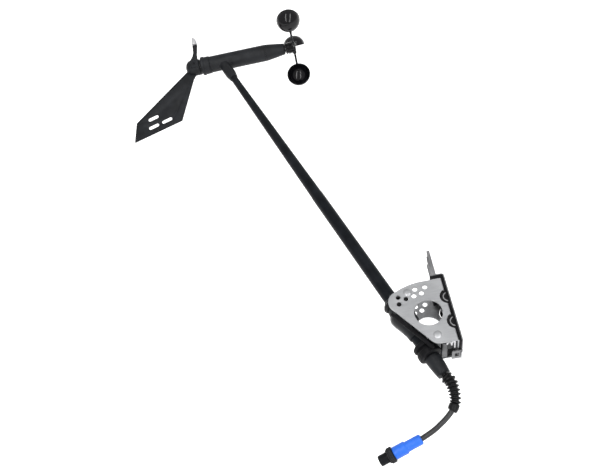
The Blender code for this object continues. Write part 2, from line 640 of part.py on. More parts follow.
def build_vane(plastic, weight_metal, screw_steel, axis):
    hub_profile = [
        (0, VANE_HUB_FACE), (VANE_HUB_RADIUS - 1, VANE_HUB_FACE), (VANE_HUB_RADIUS, VANE_HUB_FACE - 1),
        (VANE_HUB_RADIUS, -289.5), (11.6, -293.5), (9.4, -296.3), (5.4, -298.0), (0, -298.5),
    ]
    hub = turned("vane_hub", hub_profile, plastic, ON_HEAD, 36, axis)
    clamp = block("hub_clamp", (-289, -6.5, -13.2), (VANE_HUB_FACE, 6.5, 13.2), None, ON_FIN, 0.6)
    boolean(hub, clamp, "UNION")
    low, high, out = FIN_TAB
    wide = FIN_THICKNESS / 2 + GAP
    boolean(hub, block("fin_slot", (low - 4, out - GAP, -wide), (high + GAP, 20, wide), None, ON_FIN))
    shaft_way = SHAFT_RADIUS + GAP
    boolean(hub, rod("hub_shaft_way", shaft_way, -291 - GAP, VANE_HUB_FACE + 5, None, ON_HEAD, 20))
    screw = placed((-282.5, HEAD_Y, 0), -X.cross(FIN_OUT), X)
    boolean(hub, rod("hub_screw_way", 1.5 + GAP, shaft_way + 0.2, 30, None, screw, 12))
    rod("vane_grub_screw", 1.5, shaft_way + 0.8, 12.4, screw_steel, screw, 12, axis)

    fin = rounded([
        (low, out, 0), (-389, 77, 0.8), (-395, 110, 1.2), (-315.4, 88.3, 1.2), (-288.2, 20.5, 6),
        (high, 14.5, 0), (high, out, 0),
    ], 4)
    slots = [slot_outline(x, y) for x, y in FIN_SLOTS]
    flat("vane_fin", [fin, *slots], FIN_THICKNESS, plastic, ON_FIN, axis)

    arm_way = 13.5  # the counterweight's arm starts just outside the hub's clamp block
    arm_outline = rounded([
        (-290.8, -arm_way, 0), (-286.3, -19.5, 5), (-283.9, -27, 5), (-283.7, -40.4, 0.5),
        (-276.0, -40.4, 0.5), (-278.2, -24, 3), (-278.6, -arm_way, 0),
    ], 3)
    arm = flat("counterweight_arm", [arm_outline], 5.0, plastic, ON_FIN, axis)
    bevel(arm, 0.9)
    tip_corners = [(-283.7, -40.7, 0.4), (-275.8, -40.7, 0.4), (-276.7, -49, 6), (-282.0, -56.3, 1.2)]
    tip = flat("counterweight_tip", [rounded(tip_corners, 4)], TIP_THICKNESS, weight_metal, ON_FIN, axis)
    bevel(tip, 1.4, 3)
    tang_low, tang_high = Vector((-282.0, -41.5, -1.6)), Vector((-278.4, TANG_END, 1.6))
    boolean(tip, block("tip_tang", tang_low, tang_high, None, ON_FIN), "UNION")
    play = Vector((GAP, GAP, GAP))
    boolean(arm, block("tang_way", tang_low - play, tang_high + play, None, ON_FIN))


# ---------------------------------------------------------------- cup rotor


def build_rotor(plastic, screw_steel, axis):
    start, end = -135.3, -118.8
    hub_profile = [
        (0, end), (6.2, end), (8.1, end - 1.2), (8.6, end - 3.5), (8.6, start + 4.6), (7.9, start + 4.0),
        (7.9, start + 3.2), (8.9, start + 2.6), (8.9, start + 0.6), (8.3, start), (0, start),
    ]
    hub = turned("cup_hub", hub_profile, plastic, ON_HEAD, 32, axis)
    shaft_way = SHAFT_RADIUS + GAP
    boolean(hub, rod("cup_shaft_way", shaft_way, start - 5, -125.5 + GAP, None, ON_HEAD, 20))
    out = Vector((0, math.cos(FIRST_CUP + math.pi), math.sin(FIRST_CUP + math.pi)))
    screw = placed((-130.0, HEAD_Y, 0), out, X)
    boolean(hub, rod("cup_screw_way", 1.2 + GAP, shaft_way + 0.2, 14, None, screw, 12))
    rod("cup_grub_screw", 1.2, shaft_way + 0.6, 10.4, screw_steel, screw, 12, axis)

    arcs = 9
    radius, inner = CUP_RADIUS, CUP_RADIUS - CUP_WALL
    depth, inner_depth = CUP_DEPTH, CUP_DEPTH - CUP_WALL
    quarter = [math.pi / 2 * k / arcs for k in range(arcs + 1)]
    cup_profile = [(inner * math.sin(a), -inner_depth * math.cos(a)) for a in quarter]
    cup_profile += [(inner, 0.6), (radius + 0.3, 0.6), (radius + 0.3, -0.7)]
    cup_profile += [(radius * math.cos(a), -depth * math.sin(a)) for a in quarter[1:]]
    cup_profile[0] = (0, -inner_depth)
    cup_profile[-1] = (0, -depth)
    behind = 2.4  # the arm's axis passes this far behind the cup's rim
    arm_radius = 1.7
    for number in range(3):
        angle = FIRST_CUP + number * 2 * math.pi / 3
        out = Vector((0, math.cos(angle), math.sin(angle)))
        mouth = out.cross(X)  # each cup opens a quarter turn behind its arm
        centre = Vector((ROTOR_X, HEAD_Y, 0)) + out * CUP_CIRCLE
        turned(f"cup_{number + 1}", cup_profile, plastic, placed(centre, mouth, out), 28, axis)
        foot = Vector((ROTOR_X, HEAD_Y, 0)) - mouth * behind
        rod(f"cup_arm_{number + 1}", arm_radius, 5.0, 28.8, plastic, placed(foot, out, X), 12, axis)
        way = rod("arm_socket", arm_radius + GAP, 4.6, 14, None, placed(foot, out, X), 12)
        boolean(hub, way)


# ---------------------------------------------------------------- plug


def build_plug(blue, plastic, insulator, rubber):
    step, face = 17.5, 32.3
    tail = CABLE_RADIUS + GAP
    body = [
        (4.4, face), (6.3, face), (6.75, face - 0.6), (6.75, step + 1.2), (6.4, step + 0.5), (5.6, step),
        (5.5, 1.4), (5.0, 0.4), (4.4, 0), (tail, 0), (tail, 14), (1.2, 14), (1.2, 24), (4.4, 24),
    ]
    turned("plug_body", list(body), blue, ON_PLUG, 32)
    low, flange, end = face + GAP, 38.1, PLUG_LENGTH
    nut_axis = axis_empty("plug_nut_axis", ON_PLUG)
    nut = [
        (5.4, end), (6.0, end - 0.6), (6.0, flange), (7.9, flange), (8.25, flange - 0.7), (8.25, low + 0.7),
        (7.9, low), (4.7, low), (4.7, end),
    ]
    turned("plug_nut", nut, plastic, ON_PLUG, 32, nut_axis)
    insert_face = 41.0
    insert = rod("plug_insert", 4.1, 24 + GAP, insert_face, insulator, ON_PLUG, 24)
    pin_circle, pin_radius, pin_end = 2.75, 0.5, 47.6
    places = [(0.0, 0.0)]
    for k in range(4):
        angle = math.radians(45 + 90 * k)
        places.append((pin_circle * math.cos(angle), pin_circle * math.sin(angle)))
    for x, y in places:
        at = ON_PLUG @ Matrix.Translation(Vector((x, y, 0)) * MM)
        boolean(insert, rod("contact_pin", pin_radius, insert_face - 2, pin_end, None, at, 8), "UNION")
    pipe("plug_o_ring", 7.3, 6.0 + GAP, flange + GAP, flange + 1.4, rubber, ON_PLUG, 24, nut_axis)


# ---------------------------------------------------------------- assembly


def main():
    global CUTTERS, PARTS
    clear_scene()
    PARTS = new_collection("masthead_wind_sensor")
    CUTTERS = new_collection("cutters")

    stainless = material("stainless", (0.42, 0.42, 0.43), 0.38, 1.0)
    fastener = material("fastener_steel", (0.5, 0.5, 0.5), 0.35, 1.0)
    dark_steel = material("dark_screw_steel", (0.06, 0.06, 0.065), 0.45, 1.0)
    black = material("black_plastic", (0.03, 0.032, 0.034), 0.5)
    gloss = material("gloss_black_plastic", (0.015, 0.015, 0.016), 0.25)
    carbon = material("carbon_arm", (0.028, 0.03, 0.032), 0.45)
    rubber = material("black_rubber", (0.02, 0.02, 0.02), 0.7)
    sheath = material("cable_sheath", (0.05, 0.05, 0.05), 0.5)
    blue = material("blue_plastic", (0.05, 0.2, 0.85), 0.45)
    weight = material("counterweight_metal", (0.35, 0.35, 0.35), 0.45, 1.0)
    magnet = material("magnet", (0.3, 0.3, 0.3), 0.3, 1.0)
    board = material("circuit_board", (0.02, 0.18, 0.06), 0.5)
    chip = material("chip", (0.02, 0.02, 0.02), 0.4)

    build_bracket(stainless)
    build_base(stainless, rubber, black, fastener)
    build_latch(stainless, black, fastener)
    build_holder(black, rubber, dark_steel)
    build_arm(carbon, black, sheath)
    build_pigtail(rubber, sheath)
    build_head(black, rubber)
    vane_axis, cup_axis = build_head_internals(fastener, magnet, board, chip)
    build_vane(black, weight, fastener, vane_axis)
    build_rotor(gloss, fastener, cup_axis)
    build_plug(blue, black, rubber, rubber)


main()
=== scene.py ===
"""Looks for the masthead wind sensor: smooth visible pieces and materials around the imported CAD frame.

Sizes are in millimetres in the CAD's own frame, and MM turns them into metres. Those of the camera, the
floor and the lights are in metres.
"""

import json
import math

import bmesh
import bpy
from mathutils import Matrix, Vector

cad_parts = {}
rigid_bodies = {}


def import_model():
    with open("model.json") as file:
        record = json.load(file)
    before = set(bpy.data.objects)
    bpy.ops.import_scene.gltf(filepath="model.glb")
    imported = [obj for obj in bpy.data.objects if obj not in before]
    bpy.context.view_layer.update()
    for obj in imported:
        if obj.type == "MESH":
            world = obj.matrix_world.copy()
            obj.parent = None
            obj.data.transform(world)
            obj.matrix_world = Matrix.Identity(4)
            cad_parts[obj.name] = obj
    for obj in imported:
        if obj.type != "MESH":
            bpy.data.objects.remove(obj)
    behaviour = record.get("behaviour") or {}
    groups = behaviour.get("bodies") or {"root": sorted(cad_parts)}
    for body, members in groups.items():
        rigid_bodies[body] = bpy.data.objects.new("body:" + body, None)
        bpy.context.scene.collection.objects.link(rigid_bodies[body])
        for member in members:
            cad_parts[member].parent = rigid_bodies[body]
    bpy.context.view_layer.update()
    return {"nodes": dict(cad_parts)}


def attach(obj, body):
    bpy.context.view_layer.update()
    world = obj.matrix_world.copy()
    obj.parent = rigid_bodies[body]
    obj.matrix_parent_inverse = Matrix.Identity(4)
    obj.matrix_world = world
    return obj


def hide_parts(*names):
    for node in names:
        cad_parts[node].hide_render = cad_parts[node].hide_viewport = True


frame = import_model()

MM = 0.001
X, Y, Z = Vector((1, 0, 0)), Vector((0, 1, 0)), Vector((0, 0, 1))
OBJECTS = bpy.context.scene.collection.objects

# ---------------------------------------------------------------- dimensions of the camera, floor and lights

CAMERA_PLACE = Vector((-0.1030, -0.3358, 0.6461))
CAMERA_RIGHT = Vector((0.97984, -0.11405, -0.16402)).normalized()
CAMERA_FORWARD = Vector((-0.06499, 0.59437, -0.80156)).normalized()
SENSOR_WIDTH, LENS, NEAREST = 36, 38.64, 0.01

FLOOR_REACH, FLOOR_HEIGHT, FLOOR_GLOW, WORLD_STRENGTH = 6.0, -0.135, 0.22, 0.75

AIM = Vector((-0.15, 0.25, 0))
STRIP_TURN, STRIP_DISTANCE, STRIP_RISE = math.radians(22), 1.6, 0.1
STRIP_SIZE, STRIP_POWER = (0.1, 2.8), 19
BOX_SIZE = (1.4, 1.4)
BOX_LIGHTS = (
    ("key_box", (1.3, 0.9, 1.5), 10), ("fill_box", (-1.6, 0.1, 1.3), 6), ("top_box", (-0.1, 0.6, 1.9), 5),
)

# ---------------------------------------------------------------- dimensions shared with the CAD

# The arm's own axis runs up from its foot, and heights along it are measured from there.
ARM_RISE = math.radians(20)
ARM_FOOT = Vector((-50.3, 0, 0))
ARM_UP = Vector((-math.sin(ARM_RISE), math.cos(ARM_RISE), 0))
ARM_SIDE = Vector((math.cos(ARM_RISE), math.sin(ARM_RISE), 0))
ARM_RADIUS, ARM_SHOULDER_RADIUS, ARM_TOP_RADIUS = 8.0, 7.65, 5.0
ARM_TAPER_START, ARM_TOP, ARM_END = 218.0, 535.0, -46.0
ARM_BORE = ARM_RADIUS + 0.3
ARM_WALL = 1.4
COLLAR_START, COLLAR_END = -30.2, -47.8
BOOT_START, BOOT_GAP = -71.0, 1.1

# Along the head, a height is an X value, because the head lies along X.
HEAD_Y = 518.0
HEAD_RADIUS, NOSE_RADIUS, CAP_RADIUS, FLANGE_RADIUS = 12.8, 8.6, 13.7, 14.6
HEAD_BORE = HEAD_RADIUS - 2
SHAFT_HOLE, BEARING_SEAT = 2.5, 5.3
VANE_END, CAP_SEAM, NOSE_SEAM, NOSE_END = -272.8, -258.2, -168.0, -136.8

ROTOR_X, CUP_CIRCLE, CUP_RADIUS, CUP_DEPTH, CUP_WALL = -122.1, 47.4, 17.9, 16.3, 1.3
FIRST_CUP = math.radians(85)
VANE_ANGLE = math.radians(-160)
FIN_OUT = Vector((0, math.cos(VANE_ANGLE), math.sin(VANE_ANGLE)))
VANE_HUB_RADIUS, VANE_HUB_FACE = 12.5, -275.2

# The bracket: the web's outer face is at WEB_FACE, and INSIDE is how far the saddle reaches each way.
BRACKET_WIDTH, SHEET, WEB_FACE = 41.0, 1.5, -3.8
INSIDE = BRACKET_WIDTH / 2 - SHEET - 0.4
SMALL_HOLE, LARGE_HOLE, LARGE_HOLE_CENTRE = 2.7, 15.3, (-27.5, -2.6, 0)
HOLE_CENTRES = [
    (-55.5, 22.1), (-47.4, 18.5), (-56.2, 13.5), (-35.5, 28.6), (-24.3, 29.2), (-29.5, 22.5), (-38.3, 20.6),
]
DIMPLE_CENTRES = [(-44.4, 26.5), (-24.3, -30.0)]
NOTCH_CENTRES = [13.0, -17.6]

CABLE_RADIUS = 2.9
CABLE_BORE = CABLE_RADIUS + 0.3
PLUG_TAIL = Vector((-62.6, -121.5, -21.8))
PLUG_TIP = Vector((-109.0, -133.7, -33.0))
PLUG_ALONG = (PLUG_TIP - PLUG_TAIL).normalized()
PLUG_LENGTH = (PLUG_TIP - PLUG_TAIL).length
CABLE_IN_PLUG = 8.0
PIGTAIL = [
    Vector(point)
    for point in (
        (-21.7, -74.4, -0.3), (-20.6, -80.95, -1.0), (-20.5, -87.2, -2.2), (-21.3, -93.2, -3.8),
        (-23.3, -98.5, -5.6), (-27.3, -103.4, -7.4), (-33.1, -108.2, -9.5), (-39.6, -112.3, -12.0),
        (-48.9, -117.0, -16.0),
    )
]
# The strain relief covers the route's first spans after its start, each of ROUTE_STEPS short pieces.
BOOT_SPANS, ROUTE_STEPS = 6, 6
BOOT_RADIUS, BOOT_TAPER = 7.0, 1.8
BOOT_RIBS, FIRST_RIB, LAST_RIB = 8, 0.03, 0.80


def placed(origin=(0, 0, 0), along=Z, side=X):
    """A placement with local Z along one direction and local X as near as can be to another."""
    z = Vector(along).normalized()
    if abs(z.dot(Vector(side).normalized())) > 0.999:
        side = Y
    x = (Vector(side) - z * z.dot(Vector(side))).normalized()
    matrix = Matrix((x, z.cross(x), z)).transposed().to_4x4()
    matrix.translation = Vector(origin) * MM
    return matrix


ON_ARM = placed(ARM_FOOT, ARM_UP, ARM_SIDE)
ON_HEAD = placed((0, HEAD_Y, 0), X, Y)
ON_FIN = placed((0, HEAD_Y, 0), X.cross(FIN_OUT), X)
ON_PLUG = placed(PLUG_TAIL, PLUG_ALONG, Z)

# ---------------------------------------------------------------- camera


def add_camera():
    camera = bpy.data.objects.new("camera", bpy.data.cameras.new("camera"))
    OBJECTS.link(camera)
    up = CAMERA_RIGHT.cross(CAMERA_FORWARD)
    matrix = Matrix((CAMERA_RIGHT, up, -CAMERA_FORWARD)).transposed().to_4x4()
    matrix.translation = CAMERA_PLACE
    camera.matrix_world = matrix
    camera.data.sensor_width = SENSOR_WIDTH
    camera.data.lens = LENS
    camera.data.clip_start = NEAREST
    bpy.context.scene.camera = camera
    return matrix


CAMERA = add_camera()

# ---------------------------------------------------------------- materials


def shader_of(made):
    return made.node_tree.nodes["Principled BSDF"]


def new_material(name, colour, roughness, metallic=0.0):
    made = bpy.data.materials.new(name)
    made.use_nodes = True
    shader = shader_of(made)
    shader.inputs["Base Color"].default_value = (*colour, 1)
    shader.inputs["Roughness"].default_value = roughness
    shader.inputs["Metallic"].default_value = metallic
    return made


def node(made, kind, **settings):
    """A new shader node, with each setting put on the input or the property of that name."""
    new = made.node_tree.nodes.new(kind)
    for key, value in settings.items():
        if key in new.inputs:
            new.inputs[key].default_value = value
        else:
            setattr(new, key, value)
    return new


def link(made, source, target):
    made.node_tree.links.new(source, target)


def noise(made, scale, detail=4.0, factors=(1, 1, 1), roughness=0.55):
    """Noise in the object's own coordinates, with a factor on its scale for each of the three axes."""
    where = node(made, "ShaderNodeTexCoord")
    mapping = node(made, "ShaderNodeMapping")
    mapping.inputs["Scale"].default_value = factors
    texture = node(made, "ShaderNodeTexNoise", Scale=scale, Detail=detail, Roughness=roughness)
    link(made, where.outputs["Object"], mapping.inputs["Vector"])
    link(made, mapping.outputs["Vector"], texture.inputs["Vector"])
    return texture.outputs["Fac"]


def spread(made, value, low, high, at=(0.35, 0.65)):
    """The value as a number from low to high."""
    ramp = node(made, "ShaderNodeMapRange")
    for key, number in (("From Min", at[0]), ("From Max", at[1]), ("To Min", low), ("To Max", high)):
        ramp.inputs[key].default_value = number
    link(made, value, ramp.inputs["Value"])
    return ramp.outputs["Result"]


def between(made, value, first, second, at=(0.35, 0.65)):
    """A colour from the first to the second by the value."""
    ramp = node(made, "ShaderNodeValToRGB")
    ramp.color_ramp.elements[0].position, ramp.color_ramp.elements[1].position = at
    ramp.color_ramp.elements[0].color = (*first, 1)
    ramp.color_ramp.elements[1].color = (*second, 1)
    link(made, value, ramp.inputs["Fac"])
    return ramp.outputs["Color"]


def bump(made, value, distance, strength=1.0):
    made_bump = node(made, "ShaderNodeBump", Strength=strength, Distance=distance)
    link(made, value, made_bump.inputs["Height"])
    link(made, made_bump.outputs["Normal"], shader_of(made).inputs["Normal"])


def moulded(name, dark, light, rough, grain, specular=0.5):
    """Moulded plastic or rubber: a mottled colour, an uneven sheen and a fine grain."""
    made = new_material(name, dark, rough[0])
    shader = shader_of(made)
    grain_scale, grain_depth = grain
    mottle = noise(made, scale=55, detail=5)
    link(made, between(made, mottle, dark, light), shader.inputs["Base Color"])
    link(made, spread(made, noise(made, scale=140, detail=6), *rough), shader.inputs["Roughness"])
    bump(made, noise(made, scale=grain_scale, detail=3), grain_depth * MM)
    shader.inputs["Specular IOR Level"].default_value = specular
    return made


def metal(name, dark, light, rough, brushing, scratch=0.004):
    """Sheet or turned metal with a brushed grain, which is long along the axis where brushing is low."""
    made = new_material(name, dark, rough[0], 1.0)
    shader = shader_of(made)
    brushed = noise(made, scale=300, detail=6, factors=brushing, roughness=0.7)
    cloudy = noise(made, scale=30, detail=3)
    both = node(made, "ShaderNodeMath", operation="ADD")
    halved = node(made, "ShaderNodeMath", operation="MULTIPLY")
    halved.inputs[1].default_value = 0.5
    link(made, brushed, both.inputs[0])
    link(made, cloudy, both.inputs[1])
    link(made, both.outputs[0], halved.inputs[0])
    link(made, between(made, halved.outputs[0], dark, light, (0.4, 0.62)), shader.inputs["Base Color"])
    link(made, spread(made, brushed, *rough), shader.inputs["Roughness"])
    bump(made, brushed, scratch * MM)
    return made


PLAIN, BRUSHED_ALONG_X, BRUSHED_ALONG_Y = (1, 1, 1), (0.15, 3.0, 1.0), (3.0, 0.12, 1.0)

STAINLESS = metal("stainless", (0.34, 0.345, 0.355), (0.44, 0.445, 0.455), (0.38, 0.54), BRUSHED_ALONG_X)
LEVER_STEEL = metal("lever_steel", (0.16, 0.16, 0.165), (0.42, 0.42, 0.43), (0.35, 0.55), BRUSHED_ALONG_Y)
FASTENER = metal("fastener_steel", (0.36, 0.36, 0.37), (0.52, 0.52, 0.53), (0.25, 0.4), PLAIN)
DARK_SCREW = metal("dark_screw_steel", (0.006, 0.006, 0.0065), (0.02, 0.02, 0.021), (0.4, 0.55), PLAIN)
WEIGHT = metal("counterweight_metal", (0.44, 0.44, 0.45), (0.52, 0.52, 0.53), (0.6, 0.75), (1, 1, 3))
MAGNET = metal("magnet", (0.35, 0.35, 0.36), (0.5, 0.5, 0.5), (0.15, 0.3), PLAIN)
BRASS = metal("pin_brass", (0.6, 0.42, 0.16), (0.75, 0.55, 0.25), (0.2, 0.35), PLAIN)
BLACK = moulded(
    "black_plastic", (0.005, 0.0055, 0.0065), (0.010, 0.011, 0.013), (0.40, 0.54), (900, 0.02), 0.16
)
GLOSS = moulded(
    "gloss_black_plastic", (0.001, 0.001, 0.0015), (0.003, 0.003, 0.004), (0.1, 0.16), (700, 0.003), 0.24
)
ARM_FINISH = moulded(
    "carbon_arm", (0.003, 0.0035, 0.0045), (0.007, 0.008, 0.010), (0.34, 0.44), (1200, 0.012), 0.06
)
RUBBER = moulded(
    "black_rubber", (0.0015, 0.0015, 0.002), (0.004, 0.004, 0.0045), (0.3, 0.45), (800, 0.05), 0.17
)
MATT = moulded(
    "matt_black_plastic", (0.002, 0.002, 0.0025), (0.005, 0.005, 0.006), (0.45, 0.6), (900, 0.02), 0.1
)
FOAM = moulded(
    "gasket_rubber", (0.003, 0.003, 0.0035), (0.008, 0.008, 0.009), (0.7, 0.9), (1600, 0.09), 0.08
)
SHEATH = moulded(
    "cable_sheath", (0.009, 0.009, 0.010), (0.015, 0.015, 0.016), (0.26, 0.4), (1100, 0.02), 0.4
)
BLUE = moulded(
    "blue_plastic", (0.012, 0.094, 0.46), (0.017, 0.112, 0.53), (0.3, 0.42), (900, 0.02), 0.3
)
DARK_STEEL = metal("dull_steel", (0.07, 0.07, 0.072), (0.15, 0.15, 0.155), (0.5, 0.65), PLAIN)
BASE_STEEL = metal("base_steel", (0.15, 0.15, 0.155), (0.27, 0.27, 0.275), (0.45, 0.6), BRUSHED_ALONG_X)
BOARD = moulded("circuit_board", (0.01, 0.12, 0.04), (0.02, 0.2, 0.07), (0.3, 0.45), (600, 0.03))
CHIP = moulded("chip", (0.012, 0.012, 0.013), (0.03, 0.03, 0.03), (0.35, 0.5), (2000, 0.02))

# ---------------------------------------------------------------- floor and lights


def add_floor():
    """A pale floor that glows faintly, so that it comes out as white as the backdrop."""
    mesh = bpy.data.meshes.new("floor")
    signs = ((-1, -1), (1, -1), (1, 1), (-1, 1))
    corners = [(FLOOR_REACH * x, FLOOR_REACH * y, FLOOR_HEIGHT) for x, y in signs]
    mesh.from_pydata(corners, [], [(0, 1, 2, 3)])
    floor = bpy.data.objects.new("floor", mesh)
    OBJECTS.link(floor)
    white = new_material("pale_floor", (0.9, 0.9, 0.9), 0.9)
    shader = shader_of(white)
    shade = between(white, noise(white, scale=3, detail=2), (0.9, 0.9, 0.9), (0.92, 0.92, 0.92))
    link(white, shade, shader.inputs["Base Color"])
    shader.inputs["Specular IOR Level"].default_value = 0.0
    shader.inputs["Emission Color"].default_value = (1, 1, 1, 1)
    shader.inputs["Emission Strength"].default_value = FLOOR_GLOW
    mesh.materials.append(white)


def add_world():
    world = bpy.data.worlds.new("studio")
    world.use_nodes = True
    backdrop = world.node_tree.nodes["Background"]
    backdrop.inputs["Color"].default_value = (1, 1, 1, 1)
    backdrop.inputs["Strength"].default_value = WORLD_STRENGTH
    bpy.context.scene.world = world
    bpy.context.scene.view_settings.view_transform = "Standard"


def area_light(name, place, target, size, power):
    data = bpy.data.lights.new(name, "AREA")
    data.shape = "RECTANGLE"
    data.size, data.size_y = size
    data.energy = power
    light = bpy.data.objects.new(name, data)
    OBJECTS.link(light)
    back = Vector(place) - Vector(target)
    light.matrix_world = placed((0, 0, 0), back, CAMERA.to_3x3().col[0])
    light.location = place
    return light


def add_lights():
    """Two tall strips either side of the camera, and three soft boxes that no glossy surface mirrors."""
    right, up, back = (CAMERA.to_3x3().col[i].copy() for i in range(3))
    for name, side in (("strip_left", -1), ("strip_right", 1)):
        turn = STRIP_TURN * side
        away = (back * math.cos(turn) + right * math.sin(turn)) * STRIP_DISTANCE
        area_light(name, AIM + away + up * STRIP_RISE, AIM, STRIP_SIZE, STRIP_POWER)
    for name, place, power in BOX_LIGHTS:
        area_light(name, place, AIM, BOX_SIZE, power).visible_glossy = False


# ---------------------------------------------------------------- mesh tools


def finished(name, mesh, finish, matrix, body, nodes, sharp=38):
    """A visible piece: it is placed, shaded, given its finish, and tied to its body and nodes."""
    obj = bpy.data.objects.new(name, mesh)
    OBJECTS.link(obj)
    obj.matrix_world = matrix
    mesh.materials.clear()
    mesh.materials.append(finish)
    mesh.shade_smooth()
    mesh.set_sharp_from_angle(angle=math.radians(sharp))
    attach(obj, body)
    if nodes:
        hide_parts(*nodes)
    return obj


def mesh_of(shape, name):
    """The shape as a mesh, with its faces pointing out."""
    bmesh.ops.recalc_face_normals(shape, faces=shape.faces)
    mesh = bpy.data.meshes.new(name)
    shape.to_mesh(mesh)
    shape.free()
    return mesh


def turned_mesh(name, profile, steps=96, wave=None):
    """A turned mesh from (radius, height) pairs that run round its section.

    A wave is a function of the angle, the height and the radius that gives the extra radius there.
    """
    shape = bmesh.new()
    rings = []
    for radius, height in profile:
        if radius < 1e-6:
            rings.append([shape.verts.new((0, 0, height * MM))])
            continue
        ring = []
        for k in range(steps):
            angle = 2 * math.pi * k / steps
            r = (radius + (wave(angle, height, radius) if wave else 0)) * MM
            ring.append(shape.verts.new((r * math.cos(angle), r * math.sin(angle), height * MM)))
        rings.append(ring)
    pairs = list(zip(rings, rings[1:]))
    if len(rings[0]) > 1 and len(rings[-1]) > 1:
        pairs.append((rings[-1], rings[0]))
    for a, b in pairs:
        for k in range(steps):
            n = (k + 1) % steps
            corners = [a[k % len(a)], a[n % len(a)], b[n % len(b)], b[k % len(b)]]
            corners = list(dict.fromkeys(corners))
            if len(corners) > 2:
                shape.faces.new(corners)
    return mesh_of(shape, name)


def arc(centre, radius, start, end, steps=6):
    """Points round an arc in a section, from start to end in degrees: 0 is outwards and 90 is up."""
    points = []
    for k in range(steps + 1):
        angle = math.radians(start + (end - start) * k / steps)
        points.append((centre[0] + radius * math.cos(angle), centre[1] + radius * math.sin(angle)))
    return points


def softened(profile, radius=0.4, steps=3, ring=True):
    """The section with its corners rounded. An open section, ring=False, keeps its two ends."""
    points = []
    count = len(profile)
    for i, corner in enumerate(profile):
        here = Vector(corner)
        before, after = Vector(profile[i - 1]) - here, Vector(profile[(i + 1) % count]) - here
        loose_end = not ring and i in (0, count - 1)
        if loose_end or min(before.length, after.length) < 1e-6 or before.angle(after) > math.radians(172):
            points.append(corner)
            continue
        reach = min(radius, before.length * 0.45, after.length * 0.45)
        start, end = here + before.normalized() * reach, here + after.normalized() * reach
        for k in range(steps + 1):
            t = k / steps
            points.append(tuple(start * (1 - t) ** 2 + here * (2 * t * (1 - t)) + end * t**2))
    return points


def rounded(corners, segments=8):
    """An outline from (x, y, radius) corners, with each corner turned into an arc of its radius."""
    points = []
    for i, (x, y, radius) in enumerate(corners):
        here = Vector((x, y))
        before = (Vector(corners[i - 1][:2]) - here).normalized()
        after = (Vector(corners[(i + 1) % len(corners)][:2]) - here).normalized()
        if not radius:
            points.append(here)
            continue
        half = before.angle(after) / 2
        centre = here + (before + after).normalized() * radius / math.sin(half)
        start = here + before * radius / math.tan(half) - centre
        turn = start.angle_signed(here + after * radius / math.tan(half) - centre)
        for k in range(segments + 1):
            step = start.copy()
            step.rotate(Matrix.Rotation(-turn * k / segments, 2))
            points.append(centre + step)
    return points


def flat_mesh(name, loops, thickness, edge=0.0):
    """A flat piece from outlines, the first its outer edge and the rest holes, with rounded edges."""
    curve = bpy.data.curves.new(name, "CURVE")
    curve.dimensions = "2D"
    curve.fill_mode = "BOTH"
    curve.extrude = (thickness / 2 - edge) * MM
    curve.bevel_depth = edge * MM
    curve.offset = -edge * MM
    curve.bevel_resolution = 1
    for loop in loops:
        spline = curve.splines.new("POLY")
        spline.points.add(len(loop) - 1)
        for point, (x, y) in zip(spline.points, loop):
            point.co = (x * MM, y * MM, 0, 1)
        spline.use_cyclic_u = True
    return mesh_from(name, curve)


def mesh_from(name, data):
    """The mesh of a curve, welded."""
    guide = bpy.data.objects.new(name + "_guide", data)
    OBJECTS.link(guide)
    graph = bpy.context.evaluated_depsgraph_get()
    mesh = bpy.data.meshes.new_from_object(guide.evaluated_get(graph))
    bpy.data.objects.remove(guide)
    shape = bmesh.new()
    shape.from_mesh(mesh)
    bmesh.ops.remove_doubles(shape, verts=shape.verts, dist=2e-6)
    return mesh_of(shape, name)


def box_mesh(name, low, high, edge=0.0, segments=3):
    low, high = Vector(low) * MM, Vector(high) * MM
    shape = bmesh.new()
    bmesh.ops.create_cube(shape, size=1)
    bmesh.ops.scale(shape, vec=high - low, verts=shape.verts)
    bmesh.ops.translate(shape, vec=(low + high) / 2, verts=shape.verts)
    if edge:
        bmesh.ops.bevel(
            shape, geom=shape.edges[:], offset=edge * MM, segments=segments, affect="EDGES", profile=0.5
        )
    return mesh_of(shape, name)


def rod_mesh(radius, low, high, steps=48):
    """A plain cylinder along Z, from low to high."""
    return turned_mesh("rod", [(0, high), (radius, high), (radius, low), (0, low)], steps)


def combined(name, base, changes, bevel=0.0, remesh=0.0, smooth=0):
    """The base, a (mesh, placement) pair, after a list of (operation, mesh, placement) changes to it.

    The mesh that comes back is in the base's own coordinates, and still needs the base's placement.
    """
    first = bpy.data.objects.new(name, base[0])
    OBJECTS.link(first)
    first.matrix_world = base[1]
    others = []
    for operation, mesh, matrix in changes:
        other = bpy.data.objects.new(name + "_tool", mesh)
        OBJECTS.link(other)
        other.matrix_world = matrix
        others.append(other)
        modifier = first.modifiers.new("Boolean", "BOOLEAN")
        modifier.operation, modifier.object, modifier.solver = operation, other, "EXACT"
    if bevel:
        modifier = first.modifiers.new("Edges", "BEVEL")
        modifier.width, modifier.segments = bevel * MM, 2
        modifier.limit_method, modifier.angle_limit = "ANGLE", math.radians(50)
        modifier.use_clamp_overlap = True
    if remesh:
        modifier = first.modifiers.new("Remesh", "REMESH")
        modifier.mode, modifier.voxel_size = "VOXEL", remesh * MM
        modifier = first.modifiers.new("Smooth", "SMOOTH")
        modifier.factor, modifier.iterations = 0.5, smooth
    graph = bpy.context.evaluated_depsgraph_get()
    mesh = bpy.data.meshes.new_from_object(first.evaluated_get(graph))
    for obj in [first, *others]:
        bpy.data.objects.remove(obj)
    mesh.name = name
    return mesh


